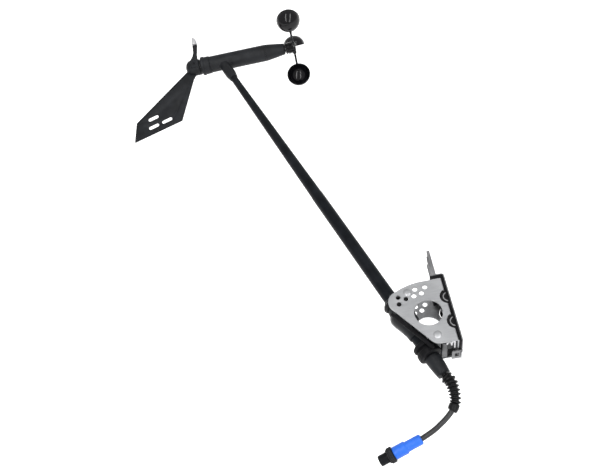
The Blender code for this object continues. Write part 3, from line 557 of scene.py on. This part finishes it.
def smooth_route(points, steps):
    """A smooth curve through all the points, with that many steps between two of them."""
    ends = [points[0] * 2 - points[1], *points, points[-1] * 2 - points[-2]]
    line = []
    for a, b, c, d in zip(ends, ends[1:], ends[2:], ends[3:]):
        for k in range(steps):
            t = k / steps
            square, cube = (2 * a - 5 * b + 4 * c - d) * t**2, (3 * b - a - 3 * c + d) * t**3
            line.append((2 * b + (c - a) * t + square + cube) / 2)
    return [*line, points[-1]]


def swept_mesh(name, line, section, steps=48):
    """A tube along a line, from (distance along the line, radius) pairs that run round its closed section."""
    lengths = [0.0]
    for a, b in zip(line, line[1:]):
        lengths.append(lengths[-1] + (b - a).length)
    shape = bmesh.new()
    rings = []
    for distance, radius in section:
        i = min(max(k for k, at in enumerate(lengths) if at <= distance + 1e-9), len(line) - 2)
        t = (distance - lengths[i]) / (lengths[i + 1] - lengths[i])
        centre = line[i].lerp(line[i + 1], t)
        before = (line[i + 1] - line[i]).normalized()
        after = (line[min(i + 2, len(line) - 1)] - line[min(i + 1, len(line) - 2)]).normalized()
        along = before.lerp(after, t).normalized()
        side = (Z - along * along.dot(Z)).normalized()
        over = along.cross(side)
        ring = []
        for k in range(steps):
            angle = 2 * math.pi * k / steps
            out = side * math.cos(angle) + over * math.sin(angle)
            ring.append(shape.verts.new((centre + out * radius) * MM))
        rings.append(ring)
    for a, b in zip(rings, rings[1:] + rings[:1]):
        for k in range(steps):
            n = (k + 1) % steps
            shape.faces.new((a[k], a[n], b[n], b[k]))
    return mesh_of(shape, name)


# ---------------------------------------------------------------- pigtail


def boot_section(length):
    """The strain relief's section: evenly spaced ribs on a taper, then a plain end."""

    def wall(share, dip):
        return (share * length, BOOT_RADIUS - BOOT_TAPER * share - dip)

    bore = CABLE_RADIUS + 0.25
    section = [(0, bore + 0.4)]
    pitch = (LAST_RIB - FIRST_RIB) / BOOT_RIBS
    for number in range(BOOT_RIBS):
        low = FIRST_RIB + pitch * number
        for part, dip in ((0.0, 1.85), (0.14, 1.8), (0.27, 0.5), (0.36, -0.2), (0.5, -0.4), (0.62, -0.2),
                          (0.72, 0.5), (0.86, 1.75)):
            section.append(wall(low + pitch * part, dip))
    for share, dip in ((0.805, 0.5), (0.82, 0.1), (0.9, -0.1), (0.96, 0.0), (0.985, 0.25), (1.0, 0.9)):
        section.append(wall(share, dip))
    return section + [(length * k / 12, bore) for k in range(12, -1, -1)]


def length_of(line):
    return sum((b - a).length for a, b in zip(line, line[1:]))


def pigtail():
    """The cable with its ribbed strain relief, and the plug that it ends in."""
    start = ARM_FOOT + ARM_UP * (BOOT_START + 0.6)
    boot_start = ARM_FOOT + ARM_UP * (BOOT_START - BOOT_GAP)
    end = PLUG_TAIL + PLUG_ALONG * CABLE_IN_PLUG
    cad_start = ARM_FOOT + ARM_UP * -60.0
    line = smooth_route([cad_start, boot_start, *PIGTAIL, PLUG_TAIL, end], ROUTE_STEPS)

    boot_line = line[ROUTE_STEPS : ROUTE_STEPS + BOOT_SPANS * ROUTE_STEPS + 1]
    mesh = swept_mesh("ribbed_boot", boot_line, boot_section(length_of(boot_line)), 56)
    boot = finished("ribbed_boot", mesh, RUBBER, Matrix(), "mast_unit", ["strain_relief"],
                    sharp=50)

    curve = bpy.data.curves.new("sensor_lead", "CURVE")
    curve.dimensions = "3D"
    curve.bevel_depth = CABLE_RADIUS * MM
    curve.bevel_resolution = 8
    curve.use_fill_caps = True
    spline = curve.splines.new("POLY")
    lead_line = [start, *line[ROUTE_STEPS:]]
    spline.points.add(len(lead_line) - 1)
    for point, place in zip(spline.points, lead_line):
        point.co = (*(place * MM), 1)
    spline.use_smooth = True
    curve.materials.append(SHEATH)
    lead = bpy.data.objects.new("sensor_lead", curve)
    OBJECTS.link(lead)
    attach(lead, "mast_unit")
    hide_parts("cable")
    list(plug())


# ---------------------------------------------------------------- plug

# Heights along the plug, from its tail: its blue body has a step, then a face, and the nut has a flange.
PLUG_STEP, PLUG_FACE, NUT_FLANGE = 17.5, 32.3, 38.1
INSERT_BACK, INSERT_FACE = 24.3, 41.0
THREAD_ROOT, THREAD_PITCH, THREAD_DEPTH = 5.35, 1.0, 0.62


def plug():
    return [plug_shell(), coupling_ring(), coupling_thread(), *contacts(), frame["nodes"]["plug_o_ring"]]


def plug_shell():
    def grip(angle, height, radius):
        on_grip = 3.0 < height < PLUG_STEP - 2.5 and radius > 5
        return -0.22 * (math.cos(angle * 10) > 0.55) if on_grip else 0.0

    front = [(4.4, PLUG_FACE), (6.3, PLUG_FACE), (6.75, PLUG_FACE - 0.6), (6.75, 24.6), (6.55, 24.4),
             (6.55, 23.9), (6.75, 23.7), (6.75, PLUG_STEP + 1.2), (6.4, PLUG_STEP + 0.5), (5.65, PLUG_STEP)]
    tail = [(5.62, PLUG_STEP - 2.4), (5.6, PLUG_STEP - 2.6)] + [(5.55, 14.0 - k) for k in range(0, 11, 2)]
    inside = [(5.5, 2.8), (5.5, 1.4), (5.0, 0.4), (4.4, 0), (CABLE_BORE, 0), (CABLE_BORE, 14), (1.2, 14),
              (1.2, 24), (4.4, 24)]
    mesh = turned_mesh("plug_shell", softened(front + tail + inside, 0.25), 120, grip)
    return finished("plug_shell", mesh, BLUE, ON_PLUG, "mast_unit", ["plug_body"], sharp=50)


def coupling_ring():
    def knurl(angle, height, radius):
        return 0.18 * math.cos(angle * 26) - 0.1 if radius > 8.0 else 0.0

    low = PLUG_FACE + 0.3
    ring = [(8.0, NUT_FLANGE), (8.25, NUT_FLANGE - 0.6), (8.25, low + 0.6), (8.0, low), (4.75, low),
            (4.75, NUT_FLANGE)]
    mesh = turned_mesh("coupling_ring", softened(ring, 0.2), 208, knurl)
    return finished("coupling_ring", mesh, BLACK, ON_PLUG, "plug_coupling", ["plug_nut"],
                    sharp=60)


def coupling_thread():
    """The nut's barrel, whose outside has one row of points for every eighth of a millimetre or so."""
    end, rows = PLUG_LENGTH, 88

    def thread(angle, height, radius):
        if radius != THREAD_ROOT:
            return 0.0
        turn = (height / THREAD_PITCH - angle / (2 * math.pi)) % 1
        fade = min(1.0, max(0.0, (end - 0.3 - height) / 0.8))
        return fade * THREAD_DEPTH * (1 - abs(2 * turn - 1))

    reach = end - 0.15 - NUT_FLANGE + 0.3
    barrel = [(4.7, end - 0.3), (4.9, end), (5.2, end)]
    barrel += [(THREAD_ROOT, end - 0.15 - reach * k / rows) for k in range(rows + 1)]
    barrel.append((4.7, NUT_FLANGE - 0.3))
    mesh = turned_mesh("coupling_thread", barrel, 96, thread)
    return finished("coupling_thread", mesh, BLACK, ON_PLUG, "plug_coupling", [], sharp=80)


def contacts():
    """The insert, with one contact pin at its centre and four round it."""
    disc = [(0, INSERT_FACE), (1.0, INSERT_FACE), (3.6, INSERT_FACE), (4.1, INSERT_FACE - 0.5),
            (4.1, INSERT_BACK), (0, INSERT_BACK)]
    mesh = turned_mesh("contact_carrier", disc, 64)
    made = [finished("contact_carrier", mesh, CHIP, ON_PLUG, "mast_unit", ["plug_insert"])]
    circle = 2.75
    quarters = [math.radians(45 + 90 * i) for i in range(4)]
    places = [(0.0, 0.0)] + [(circle * math.cos(angle), circle * math.sin(angle)) for angle in quarters]
    root = INSERT_FACE - 1
    shank = [(0, 47.6), (0.25, 47.55), (0.45, 47.2), (0.5, 46.8), (0.5, root), (0, root)]
    for number, (x, y) in enumerate(places, 1):
        at = ON_PLUG @ Matrix.Translation(Vector((x, y, 0)) * MM)
        mesh = turned_mesh("contact_pin", shank, 24)
        made.append(finished(f"contact_pin_{number}", mesh, BRASS, at, "mast_unit", []))
    return made


# ---------------------------------------------------------------- arm, holder and collar


def arm():
    """The pole: straight up to the start of its taper, with a small step there."""
    low, high = ARM_TAPER_START + 3, ARM_TOP - 1
    fall = ARM_SHOULDER_RADIUS - ARM_TOP_RADIUS
    taper = [(ARM_TOP_RADIUS, ARM_TOP), (ARM_TOP_RADIUS, ARM_TOP - 0.5)]
    taper += [(ARM_SHOULDER_RADIUS - fall * k / 12, low + (high - low) * k / 12) for k in range(12, -1, -1)]
    outside = [*taper, (ARM_RADIUS - 0.05, ARM_TAPER_START + 0.4), (ARM_RADIUS, ARM_TAPER_START - 0.3),
               (ARM_RADIUS, 80), (ARM_RADIUS, ARM_END)]
    section = outside + [(radius - ARM_WALL, height) for radius, height in reversed(outside)]
    finished("arm_pole", turned_mesh("arm_pole", section, 96), ARM_FINISH, ON_ARM, "mast_unit", ["arm_tube"],
             sharp=25)


def holder():
    """The saddle round the arm's foot, with two pads each side that meet the bracket's side plates."""
    outer = [(9.6, 33.5), (10.4, 31.5), (10.4, 23), (12.0, 20), (12.4, 15), (14.5, 10.5), (14.1, 6.5),
             (11.3, -5), (9.8, -13), (9.3, -20)]
    core = ARM_BORE - 0.6
    base = turned_mesh("holder", softened([*outer, (core, -20), (core, 33.5)], 1.0), 96)
    changes = []
    for side in (1, -1):
        z_low, z_high = sorted((side * 8.9, side * INSIDE))
        changes.append(("UNION", box_mesh("pad", (-2, z_low, -10), (8.8, z_high, 14), 0.8), ON_ARM))
        changes.append(("UNION", box_mesh("pad", (-4.5, z_low, 11), (11.6, z_high, 20.5), 0.8), ON_ARM))
    changes.append(("DIFFERENCE", rod_mesh(ARM_BORE, -40, 50, 96), ON_ARM))
    for x, y in HOLE_CENTRES[1:3]:
        for side in (1, -1):
            changes.append(("DIFFERENCE", rod_mesh(1.7, -8, 8, 24), placed((x, y, side * INSIDE), Z)))
    mesh = combined("holder_body", (base, ON_ARM), changes, remesh=0.45, smooth=3)
    finished("holder_body", mesh, BLACK, ON_ARM, "mast_unit", ["arm_holder"], sharp=60)


def holder_band():
    """The round rubber band at the saddle's mouth."""
    centre, radius, bore, half = 27.0, 13.6, 10.7, 3.2
    band = [(bore, centre + half), (radius - 1.6, centre + half)]
    band += arc((radius - 2.2, centre), 2.2, 62, -62, 8)
    band += [(radius - 1.6, centre - half), (bore, centre - half)]
    mesh = turned_mesh("holder_band", band, 96)
    finished("holder_band", mesh, RUBBER, ON_ARM, "mast_unit", ["holder_ring"], sharp=50)


def collar():
    """The locking collar, with two rings of which the lower is the wider, and shallow grips round both."""
    neck = 10.3
    profile = [(10.4, COLLAR_START)]
    for centre, radius, half in ((-33.9, 13.0, 2.0), (-43.2, 13.2, 3.6)):
        ring = [(neck, centre + half + 0.9), (radius, centre + half), (radius, centre - half),
                (neck, centre - half - 0.9)]
        profile += softened(ring, 1.1, 5, False)
    profile += [(10.2, COLLAR_END + 0.2), (10.0, COLLAR_END), (ARM_BORE, COLLAR_END)]
    profile.append((ARM_BORE, COLLAR_START))

    def scallop(angle, height, radius):
        return -0.28 * max(0.0, math.cos(angle * 12)) ** 6 if radius > 11.5 else 0.0

    finished("collar_rings", turned_mesh("collar_rings", profile, 144, scallop), MATT, ON_ARM, "collar",
             ["locking_collar"], sharp=60)


def gland():
    """The sleeve below the collar that the cable and its strain relief come out of."""
    section = [
        (5.9, ARM_END + 6), (5.9, COLLAR_END - 0.5), (8.9, COLLAR_END - 0.6), (8.9, -53), (8.4, -60),
        (7.8, -66), (7.35, BOOT_START + 2.0), (6.9, BOOT_START + 1.7), (6.9, BOOT_START + 1.0),
        (7.3, BOOT_START + 0.7), (7.25, BOOT_START), (CABLE_BORE, BOOT_START), (CABLE_BORE, ARM_END + 6),
    ]
    mesh = turned_mesh("gland_sleeve", softened(section, 0.3), 96)
    finished("gland_sleeve", mesh, BLACK, ON_ARM, "mast_unit", ["tail_gland"], sharp=50)


# ---------------------------------------------------------------- head


def head_barrel():
    """The barrel with the socket that the arm's top fits."""
    low, high, lining = CAP_SEAM + 0.1, NOSE_SEAM - 0.05, HEAD_BORE - 1
    tube = [(HEAD_RADIUS, low), (HEAD_RADIUS, high), (lining, high), (lining, low)]
    socket = [(0, 545), (8.3, 545), (8.3, 516), (7.9, 512.5), (6.6, 504.3), (6.25, 502.6), (5.9, 502.5),
              (0, 502.5)]
    socket_bore = 5.35
    changes = [
        ("UNION", turned_mesh("socket", socket, 72), ON_ARM),
        ("DIFFERENCE", rod_mesh(HEAD_BORE, CAP_SEAM - 5, NOSE_SEAM + 5, 72), ON_HEAD),
        ("DIFFERENCE", rod_mesh(socket_bore, 480, 560, 48), ON_ARM),
    ]
    mesh = combined("head_barrel", (turned_mesh("tube", tube, 96), ON_HEAD), changes, remesh=0.5, smooth=4)
    finished("head_barrel", mesh, BLACK, ON_HEAD, "mast_unit", ["head_housing"], sharp=55)


def vane_cap():
    """The cap at the vane's end, with its flange."""
    cap = [
        (HEAD_BORE - 0.3, CAP_SEAM + 8), (HEAD_BORE - 0.3, CAP_SEAM), (CAP_RADIUS - 0.8, CAP_SEAM),
        (CAP_RADIUS, CAP_SEAM - 1.2), (CAP_RADIUS, VANE_END + 5.6), (FLANGE_RADIUS, VANE_END + 4.6),
        (FLANGE_RADIUS, VANE_END + 1.2), (FLANGE_RADIUS - 1.2, VANE_END), (SHAFT_HOLE, VANE_END),
        (SHAFT_HOLE, VANE_END + 2), (BEARING_SEAT, VANE_END + 2), (BEARING_SEAT, CAP_SEAM + 8),
    ]
    finished("vane_cap", turned_mesh("vane_cap", softened(cap, 0.5), 112), BLACK, ON_HEAD, "mast_unit",
             ["vane_end_cap"], sharp=45)


def nose_shell():
    """The cone at the cups' end, which bulges a little between its seam and its tip."""
    tip = NOSE_END - 1
    slope = (HEAD_RADIUS - NOSE_RADIUS) / (tip - NOSE_SEAM)
    nose = [(NOSE_RADIUS - 0.8, NOSE_END), (NOSE_RADIUS, tip)]
    for x, bulge in ((-145, 0.12), (-153, 0.2), (-161, 0.15)):
        nose.append((NOSE_RADIUS + slope * (tip - x) + bulge, x))
    nose += [
        (HEAD_RADIUS, NOSE_SEAM), (HEAD_BORE - 0.3, NOSE_SEAM), (HEAD_BORE - 0.3, NOSE_SEAM - 6),
        (BEARING_SEAT, NOSE_SEAM - 6), (BEARING_SEAT, NOSE_END - 3), (SHAFT_HOLE, NOSE_END - 3),
        (SHAFT_HOLE, NOSE_END),
    ]
    finished("nose_shell", turned_mesh("nose_shell", softened(nose, 0.15), 112), BLACK, ON_HEAD, "mast_unit",
             ["nose_cone"], sharp=35)


# ---------------------------------------------------------------- vane


def vane_boss():
    """The vane's domed hub, with the clamp that grips the fin."""
    dome_start, dome_height = -289.3, 9.2
    hub = [(0, VANE_HUB_FACE), (VANE_HUB_RADIUS - 1, VANE_HUB_FACE), (VANE_HUB_RADIUS, VANE_HUB_FACE - 1),
           (VANE_HUB_RADIUS, -289.5)]
    for degrees in range(15, 90, 15):
        angle = math.radians(degrees)
        hub.append((VANE_HUB_RADIUS * math.cos(angle), dome_start - dome_height * math.sin(angle)))
    hub.append((0, -298.5))
    changes = [
        ("UNION", box_mesh("clamp", (-289, -6.5, -13.2), (VANE_HUB_FACE - 0.05, 6.5, 13.2), 0.7), ON_FIN),
        ("DIFFERENCE", box_mesh("slot", (-301, 3.7, -0.8), (-283.7, 20, 0.8)), ON_FIN),
        ("DIFFERENCE", rod_mesh(2.3, -291.3, VANE_HUB_FACE + 5, 32), ON_HEAD),
        ("DIFFERENCE", rod_mesh(1.8, 2.5, 30, 32), placed((-282.5, HEAD_Y, 0), -X.cross(FIN_OUT), X)),
    ]
    mesh = combined("vane_boss", (turned_mesh("hub", hub, 96), ON_HEAD), changes, remesh=0.3, smooth=3)
    finished("vane_boss", mesh, BLACK, ON_HEAD, "vane", ["vane_hub"], sharp=55)


def slot_outline(x, y):
    angle = math.radians(164.8)
    along = Vector((math.cos(angle), math.sin(angle))) * 8.5
    across = Vector((-math.sin(angle), math.cos(angle))) * 2.8
    corners = [(-1, -1), (1, -1), (1, 1), (-1, 1)]
    return rounded([(*(Vector((x, y)) + along * i + across * j), 2.6) for i, j in corners], 6)


def fin():
    """The thin blade with its three slots, and a low rib on each of its faces."""
    outline = rounded([(-297.0, 4.0, 0), (-389, 77, 0.8), (-395, 110, 1.2), (-315.4, 88.3, 1.2),
                       (-288.2, 20.5, 6), (-284.0, 14.5, 0), (-284.0, 4.0, 0)], 6)
    slots = [slot_outline(x, y) for x, y in ((-339.5, 82.5), (-361.5, 88.5), (-361.0, 74.0))]
    blade = flat_mesh("fin_blade", [outline, *slots], 1.0, 0.2)
    finished("fin_blade", blade, BLACK, ON_FIN, "vane", ["vane_fin"], sharp=40)
    for name, side in (("fin_rib_upper", 1), ("fin_rib_lower", -1)):
        corners = [(-291.2, 17, 0.3), (-330.3, 80.6, 0.3), (-328.6, 81.4, 0.3), (-288.6, 19, 0.3)]
        ridge = flat_mesh("fin_rib", [rounded(corners, 3)], 0.8, 0.3)
        rise = ON_FIN @ Matrix.Translation((0, 0, side * 0.6 * MM))
        finished(name, ridge, BLACK, rise, "vane", [])


def counterweight():
    """The curved arm opposite the fin, and the metal weight whose tang fits the arm's end."""
    outline = rounded([(-290.8, -13.5, 0), (-286.3, -19.5, 5), (-283.9, -27, 5), (-283.7, -40.4, 0.5),
                       (-276.0, -40.4, 0.5), (-278.2, -24, 3), (-278.6, -13.5, 0)], 6)
    stem = (flat_mesh("stem", [outline], 5.0, 1.0), ON_FIN)
    way = box_mesh("tang_way", (-282.3, -41.8, -1.9), (-278.1, -21.7, 1.9))
    finished("weight_arm", combined("weight_arm", stem, [("DIFFERENCE", way, ON_FIN)]), BLACK, ON_FIN, "vane",
             ["counterweight_arm"], sharp=40)
    outline = rounded([(-283.7, -40.7, 0.4), (-275.8, -40.7, 0.4), (-276.7, -49, 6), (-282.0, -56.3, 1.2)], 8)
    tip = (flat_mesh("tip", [outline], 8.9, 1.4), ON_FIN)
    tang = box_mesh("tang", (-282.0, -41.9, -1.6), (-278.4, -22.0, 1.6), 0.2)
    finished("weight_tip", combined("weight_tip", tip, [("UNION", tang, ON_FIN)]), WEIGHT, ON_FIN, "vane",
             ["counterweight_tip"], sharp=40)


# ---------------------------------------------------------------- cup rotor

# Each spoke runs this far behind its cup's mouth.
SPOKE_BEHIND, SPOKE_RADIUS = 2.4, 1.7


def cup_places():
    """Each cup's number, its way out from the axis, its mouth's direction and its spoke's placement."""
    places = []
    for number in range(3):
        angle = FIRST_CUP + number * 2 * math.pi / 3
        out = Vector((0, math.cos(angle), math.sin(angle)))
        mouth = out.cross(X)
        foot = Vector((ROTOR_X, HEAD_Y, 0)) - mouth * SPOKE_BEHIND
        places.append((number + 1, out, mouth, placed(foot, out, X)))
    return places


def rotor_hub():
    """The hub on the cups' shaft, with a boss for each spoke and the hole of its grub screw."""
    start, end = -135.3, -118.8
    hub = [(0, end), (6.2, end), (8.1, end - 1.2), (8.6, end - 3.5), (8.6, start + 4.6), (7.9, start + 4.0),
           (7.9, start + 3.2), (8.9, start + 2.6), (8.9, start + 0.6), (8.3, start), (0, start)]
    boss = [(0, 9.9), (2.3, 9.9), (2.9, 9.4), (3.4, 5), (0, 5)]
    spokes = [at for _, _, _, at in cup_places()]
    changes = [("UNION", turned_mesh("boss", boss, 32), at) for at in spokes]
    changes += [("DIFFERENCE", rod_mesh(SPOKE_RADIUS + 0.15, 4.6, 14, 32), at) for at in spokes]
    screw_angle = FIRST_CUP + math.pi
    screw_out = Vector((0, math.cos(screw_angle), math.sin(screw_angle)))
    changes.append(("DIFFERENCE", rod_mesh(2.3, start - 5, -125.2, 32), ON_HEAD))
    changes.append(("DIFFERENCE", rod_mesh(1.5, 2.5, 14, 24), placed((-130.0, HEAD_Y, 0), screw_out, X)))
    mesh = combined("rotor_hub", (turned_mesh("hub", softened(hub, 0.3, 3, False), 96), ON_HEAD), changes,
                    remesh=0.25, smooth=2)
    finished("rotor_hub", mesh, GLOSS, ON_HEAD, "cup_rotor", ["cup_hub"], sharp=50)


def cups():
    """The three open bowls, each with a beaded rim, and their spokes."""
    inner, inner_depth = CUP_RADIUS - CUP_WALL, CUP_DEPTH - CUP_WALL
    quarter = [math.pi / 2 * k / 24 for k in range(25)]
    bowl = [(inner * math.sin(a), -inner_depth * math.cos(a)) for a in quarter]
    bowl += [(inner, 0.35), (inner + 0.25, 0.6), (CUP_RADIUS + 0.05, 0.6), (CUP_RADIUS + 0.3, 0.35),
             (CUP_RADIUS + 0.3, -0.45), (CUP_RADIUS + 0.12, -0.68)]
    bowl += [(CUP_RADIUS * math.cos(a), -CUP_DEPTH * math.sin(a)) for a in quarter[1:]]
    bowl[0], bowl[-1] = (0, -inner_depth), (0, -CUP_DEPTH)
    spoke = [(0, 30.2), (2.3, 30.2), (2.25, 28.9), (1.85, 27.4), (SPOKE_RADIUS - 0.05, 25.5),
             (SPOKE_RADIUS, 14), (SPOKE_RADIUS, 5.0), (0, 5.0)]
    for number, out, mouth, at in cup_places():
        centre = Vector((ROTOR_X, HEAD_Y, 0)) + out * CUP_CIRCLE
        finished(f"cup_bowl_{number}", turned_mesh("cup_bowl", bowl, 112), GLOSS, placed(centre, mouth, out),
                 "cup_rotor", [f"cup_{number}"], sharp=60)
        finished(f"spoke_{number}", turned_mesh("spoke", spoke, 40), BLACK, at, "cup_rotor",
                 [f"cup_arm_{number}"], sharp=40)


# ---------------------------------------------------------------- bracket and base


def all_but(name, outline):
    """A cutter that takes away everything outside the outline."""
    far = 300
    square = [(-far, -far), (far, -far), (far, far), (-far, far)]
    return flat_mesh(name, [square, outline], 120)


def notch_place(y, side, height):
    """The centre of one edge notch, at a height towards that side plate."""
    return (WEB_FACE + 1.6, y, side * height)


def bracket():
    """One sheet folded into a U, with the same holes, domed dimples and edge notches in both side plates."""
    half, inner = BRACKET_WIDTH / 2, BRACKET_WIDTH / 2 - SHEET
    section = rounded([
        (-80, -half, 0), (WEB_FACE, -half, 2.5), (WEB_FACE, half, 2.5), (-80, half, 0),
        (-80, inner, 0), (WEB_FACE - SHEET, inner, 1), (WEB_FACE - SHEET, -inner, 1), (-80, -inner, 0),
    ], 6)
    outline = rounded([(6, -40.3, 0), (6, 37, 0), (-41, 37, 70), (-74.3, 22, 13), (-28.8, -40.3, 10)], 20)
    dome = [(0, 0.9), (2.4, 0.88), (3.3, 0.7), (3.9, 0.35), (4.6, -0.1), (4.7, -0.4), (0, -0.4)]
    changes = []
    for side in (1, -1):
        for x, y in DIMPLE_CENTRES:
            at = placed((x, y, side * half), Z * side)
            changes.append(("UNION", turned_mesh("dome", dome, 48), at))
    changes.append(("DIFFERENCE", all_but("trim", outline), Matrix()))
    for x, y in HOLE_CENTRES:
        changes.append(("DIFFERENCE", rod_mesh(SMALL_HOLE, -31, 31, 36), placed((x, y, 0), Z)))
    changes.append(("DIFFERENCE", rod_mesh(LARGE_HOLE, -31, 31, 96), placed(LARGE_HOLE_CENTRE, Z)))
    for side in (1, -1):
        for x, y in DIMPLE_CENTRES:
            at = placed((x, y, side * (inner - 1)), Z)
            changes.append(("DIFFERENCE", rod_mesh(3.2, -1.8, 1.8, 40), at))
        for y in NOTCH_CENTRES:
            changes.append(("DIFFERENCE", rod_mesh(2.3, -10, 10, 24), placed((0, y, side * 12.0), X)))
            at = placed(notch_place(y, side, half - 2.2 + 5), Z)
            changes.append(("DIFFERENCE", rod_mesh(9.15, -5, 5, 64), at))
    base = (flat_mesh("fold", [section], 100), placed((0, 0, 0), -Y, X))
    mesh = combined("bracket_fold", base, changes, bevel=0.16)
    mesh.transform(base[1])
    fold = finished("bracket_fold", mesh, STAINLESS, Matrix(), "mast_unit", ["mast_bracket"],
                    sharp=32)
    fold.modifiers.new("Flat", "WEIGHTED_NORMAL").keep_sharp = True


def painted_shadow_strip():
    """A black strip under the upper side plate, standing out along the plate's sloping edge: a painted shadow,
    a dark piece put where the plate's shade falls on the holder.
    """
    start, end = Vector((-76.0, 19.5)), Vector((-31.0, -42.2))
    along = (end - start).normalized()
    out = Vector((along.y, -along.x))
    start += along * 17
    corners = [start - out, end - out, end + out * 2.2, start + out * 2.2]
    strip = flat_mesh("painted_shadow_strip", [rounded([(*corner, 0.8) for corner in corners], 3)], 3.0, 0.4)
    # The strip is painted shadow: dark gasket rubber along the strip of shade beside the side plate's edge.
    finished("painted_shadow_strip", strip, FOAM, placed((0, 0, 16.9), Z), "mast_unit", [])


def notch_pads():
    """A round rubber pad and a steel washer in each edge notch, cut off flat where the web begins."""
    face = [(0, 0.9), (4.6, 0.9), (4.7, 0.5), (5.9, 0.5), (6.0, 1.1), (8.3, 1.0), (8.6, 0.7), (8.6, -0.1),
            (0, -0.1)]
    ring = [(4.75, 0.85), (5.85, 0.85), (5.85, 0.52), (4.75, 0.52)]
    past_web = box_mesh("past_web", (-1.15, -12, -4), (14, 12, 4))
    places = [(side, y) for side in (1, -1) for y in NOTCH_CENTRES]
    for number, (side, y) in enumerate(places, 1):
        at = placed(notch_place(y, side, 18.5), Z * side, X)
        cut = [("DIFFERENCE", past_web, at)]
        pad = combined("notch_pad", (turned_mesh("pad", face, 72), at), cut)
        finished(f"notch_pad_{number}", pad, RUBBER, at, "mast_unit", [])
        washer = combined("notch_washer", (turned_mesh("washer", ring, 72), at), cut)
        finished(f"notch_washer_{number}", washer, LEVER_STEEL, at, "mast_unit", [])


def rear_end():
    """The guide block inside the bracket's open rear end, its steel runner, and a comb of three prongs."""
    block = box_mesh("rear_guide", (-21.9, -38.0, -18.3), (-8.9, -33.8, 14.5), 0.5)
    finished("rear_guide", block, FOAM, Matrix(), "mast_unit", [])
    runner = box_mesh("rear_runner", (-21.6, -39.9, -18.3), (-15.6, -38.1, 14.8), 0.9)
    finished("rear_runner", runner, DARK_STEEL, Matrix(), "mast_unit", [])
    teeth = [(-17.4, 18.5), (-17.4, 14.8), (-15.9, 14.0), (-15.4, 17.4), (-13.2, 17.4), (-12.6, 11.2),
             (-11.0, 10.6), (-10.6, 17.4), (-9.3, 17.4), (-9.2, 4.0), (-7.7, 4.0), (-7.7, 18.5)]
    outline = rounded([(*corner, 0.2) for corner in teeth], 2)[::-1]
    comb = flat_mesh("rear_comb", [outline], 0.9, 0.15)
    finished("rear_comb", comb, FASTENER, placed((0, -40.4, 0), -Y, X), "mast_unit", [])


def lever():
    """The release lever: a channel that is trimmed to its outlines from the side and from above."""
    section = [(-16, -7, 0), (-6.2, -7, 1), (-6.2, 7, 1), (-16, 7, 0),
               (-16, 6, 0), (-7.3, 6, 0.3), (-7.3, -6, 0.3), (-16, -6, 0)]
    tip = 87.4
    side_view = rounded([(0, 29.8, 0), (0, tip, 0), (-7.6, tip, 0.8), (-9.8, tip - 1.2, 1.5),
                         (-10.5, 75.5, 1.5), (-12.2, 72, 1.5), (-13, 29.8, 1)], 6)
    plan = rounded([(20, -12, 0), (tip, -8, 8), (tip, 8, 8), (20, 12, 0)], 10)
    changes = [
        ("DIFFERENCE", all_but("side_trim", side_view), Matrix()),
        ("DIFFERENCE", all_but("plan_trim", plan), placed((-5, 0, 0), X, Y)),
        ("DIFFERENCE", rod_mesh(1.8, -20, 20, 24), placed((-10.0, 33.0, 0), Z)),
    ]
    for number in range(4):
        groove = rod_mesh(0.55, -4.5, 4.5, 16)
        changes.append(("DIFFERENCE", groove, placed((-6.0, 60 + 4 * number, 0), Z)))
    base = (flat_mesh("tongue", [rounded(section, 4)], 240), placed((0, 0, 0), -Y, X))
    mesh = combined("release_tongue", base, changes, bevel=0.12)
    mesh.transform(base[1])
    tongue = finished("release_tongue", mesh, LEVER_STEEL, Matrix(), "latch", ["latch_lever"],
                      sharp=32)
    tongue.modifiers.new("Flat", "WEIGHTED_NORMAL").keep_sharp = True


# ---------------------------------------------------------------- nodes that stay as the CAD made them

CARRIED = {
    "mast_plate": BASE_STEEL, "base_gasket": FOAM, "base_liner": BLACK, "latch_housing": BLACK,
    "catch_block": BLACK, "latch_pin": FASTENER, "latch_spring": FASTENER, "retaining_pin": FASTENER,
    "arm_cable": SHEATH, "vane_seal": RUBBER, "nose_seal": RUBBER, "circuit_board": BOARD, "vane_sensor": CHIP,
    "cup_sensor": CHIP, "vane_magnet": MAGNET, "cup_magnet": MAGNET, "plug_o_ring": RUBBER,
}
SOFT_EDGED = ("mast_plate", "latch_housing", "catch_block", "base_liner")


def carried_over():
    """The CAD nodes that nothing replaces, with their own finishes, and softer edges on four of them."""
    for name, obj in frame["nodes"].items():
        if obj.hide_render:
            continue
        dark = name.startswith("holder_screw") or name.endswith("grub_screw")
        finish = DARK_SCREW if dark else CARRIED.get(name, FASTENER)
        for slot in obj.material_slots:
            slot.material = finish
        if name in SOFT_EDGED:
            weld = obj.modifiers.new("Weld", "WELD")
            weld.merge_threshold = 1e-6
            edge = obj.modifiers.new("Edges", "BEVEL")
            edge.width, edge.segments = 0.15 * MM, 2
            edge.limit_method, edge.angle_limit = "ANGLE", math.radians(50)


add_floor()
add_world()
add_lights()
pigtail()
arm()
holder()
holder_band()
collar()
gland()
head_barrel()
vane_cap()
nose_shell()
vane_boss()
fin()
counterweight()
rotor_hub()
cups()
bracket()
painted_shadow_strip()
notch_pads()
rear_end()
lever()
carried_over()
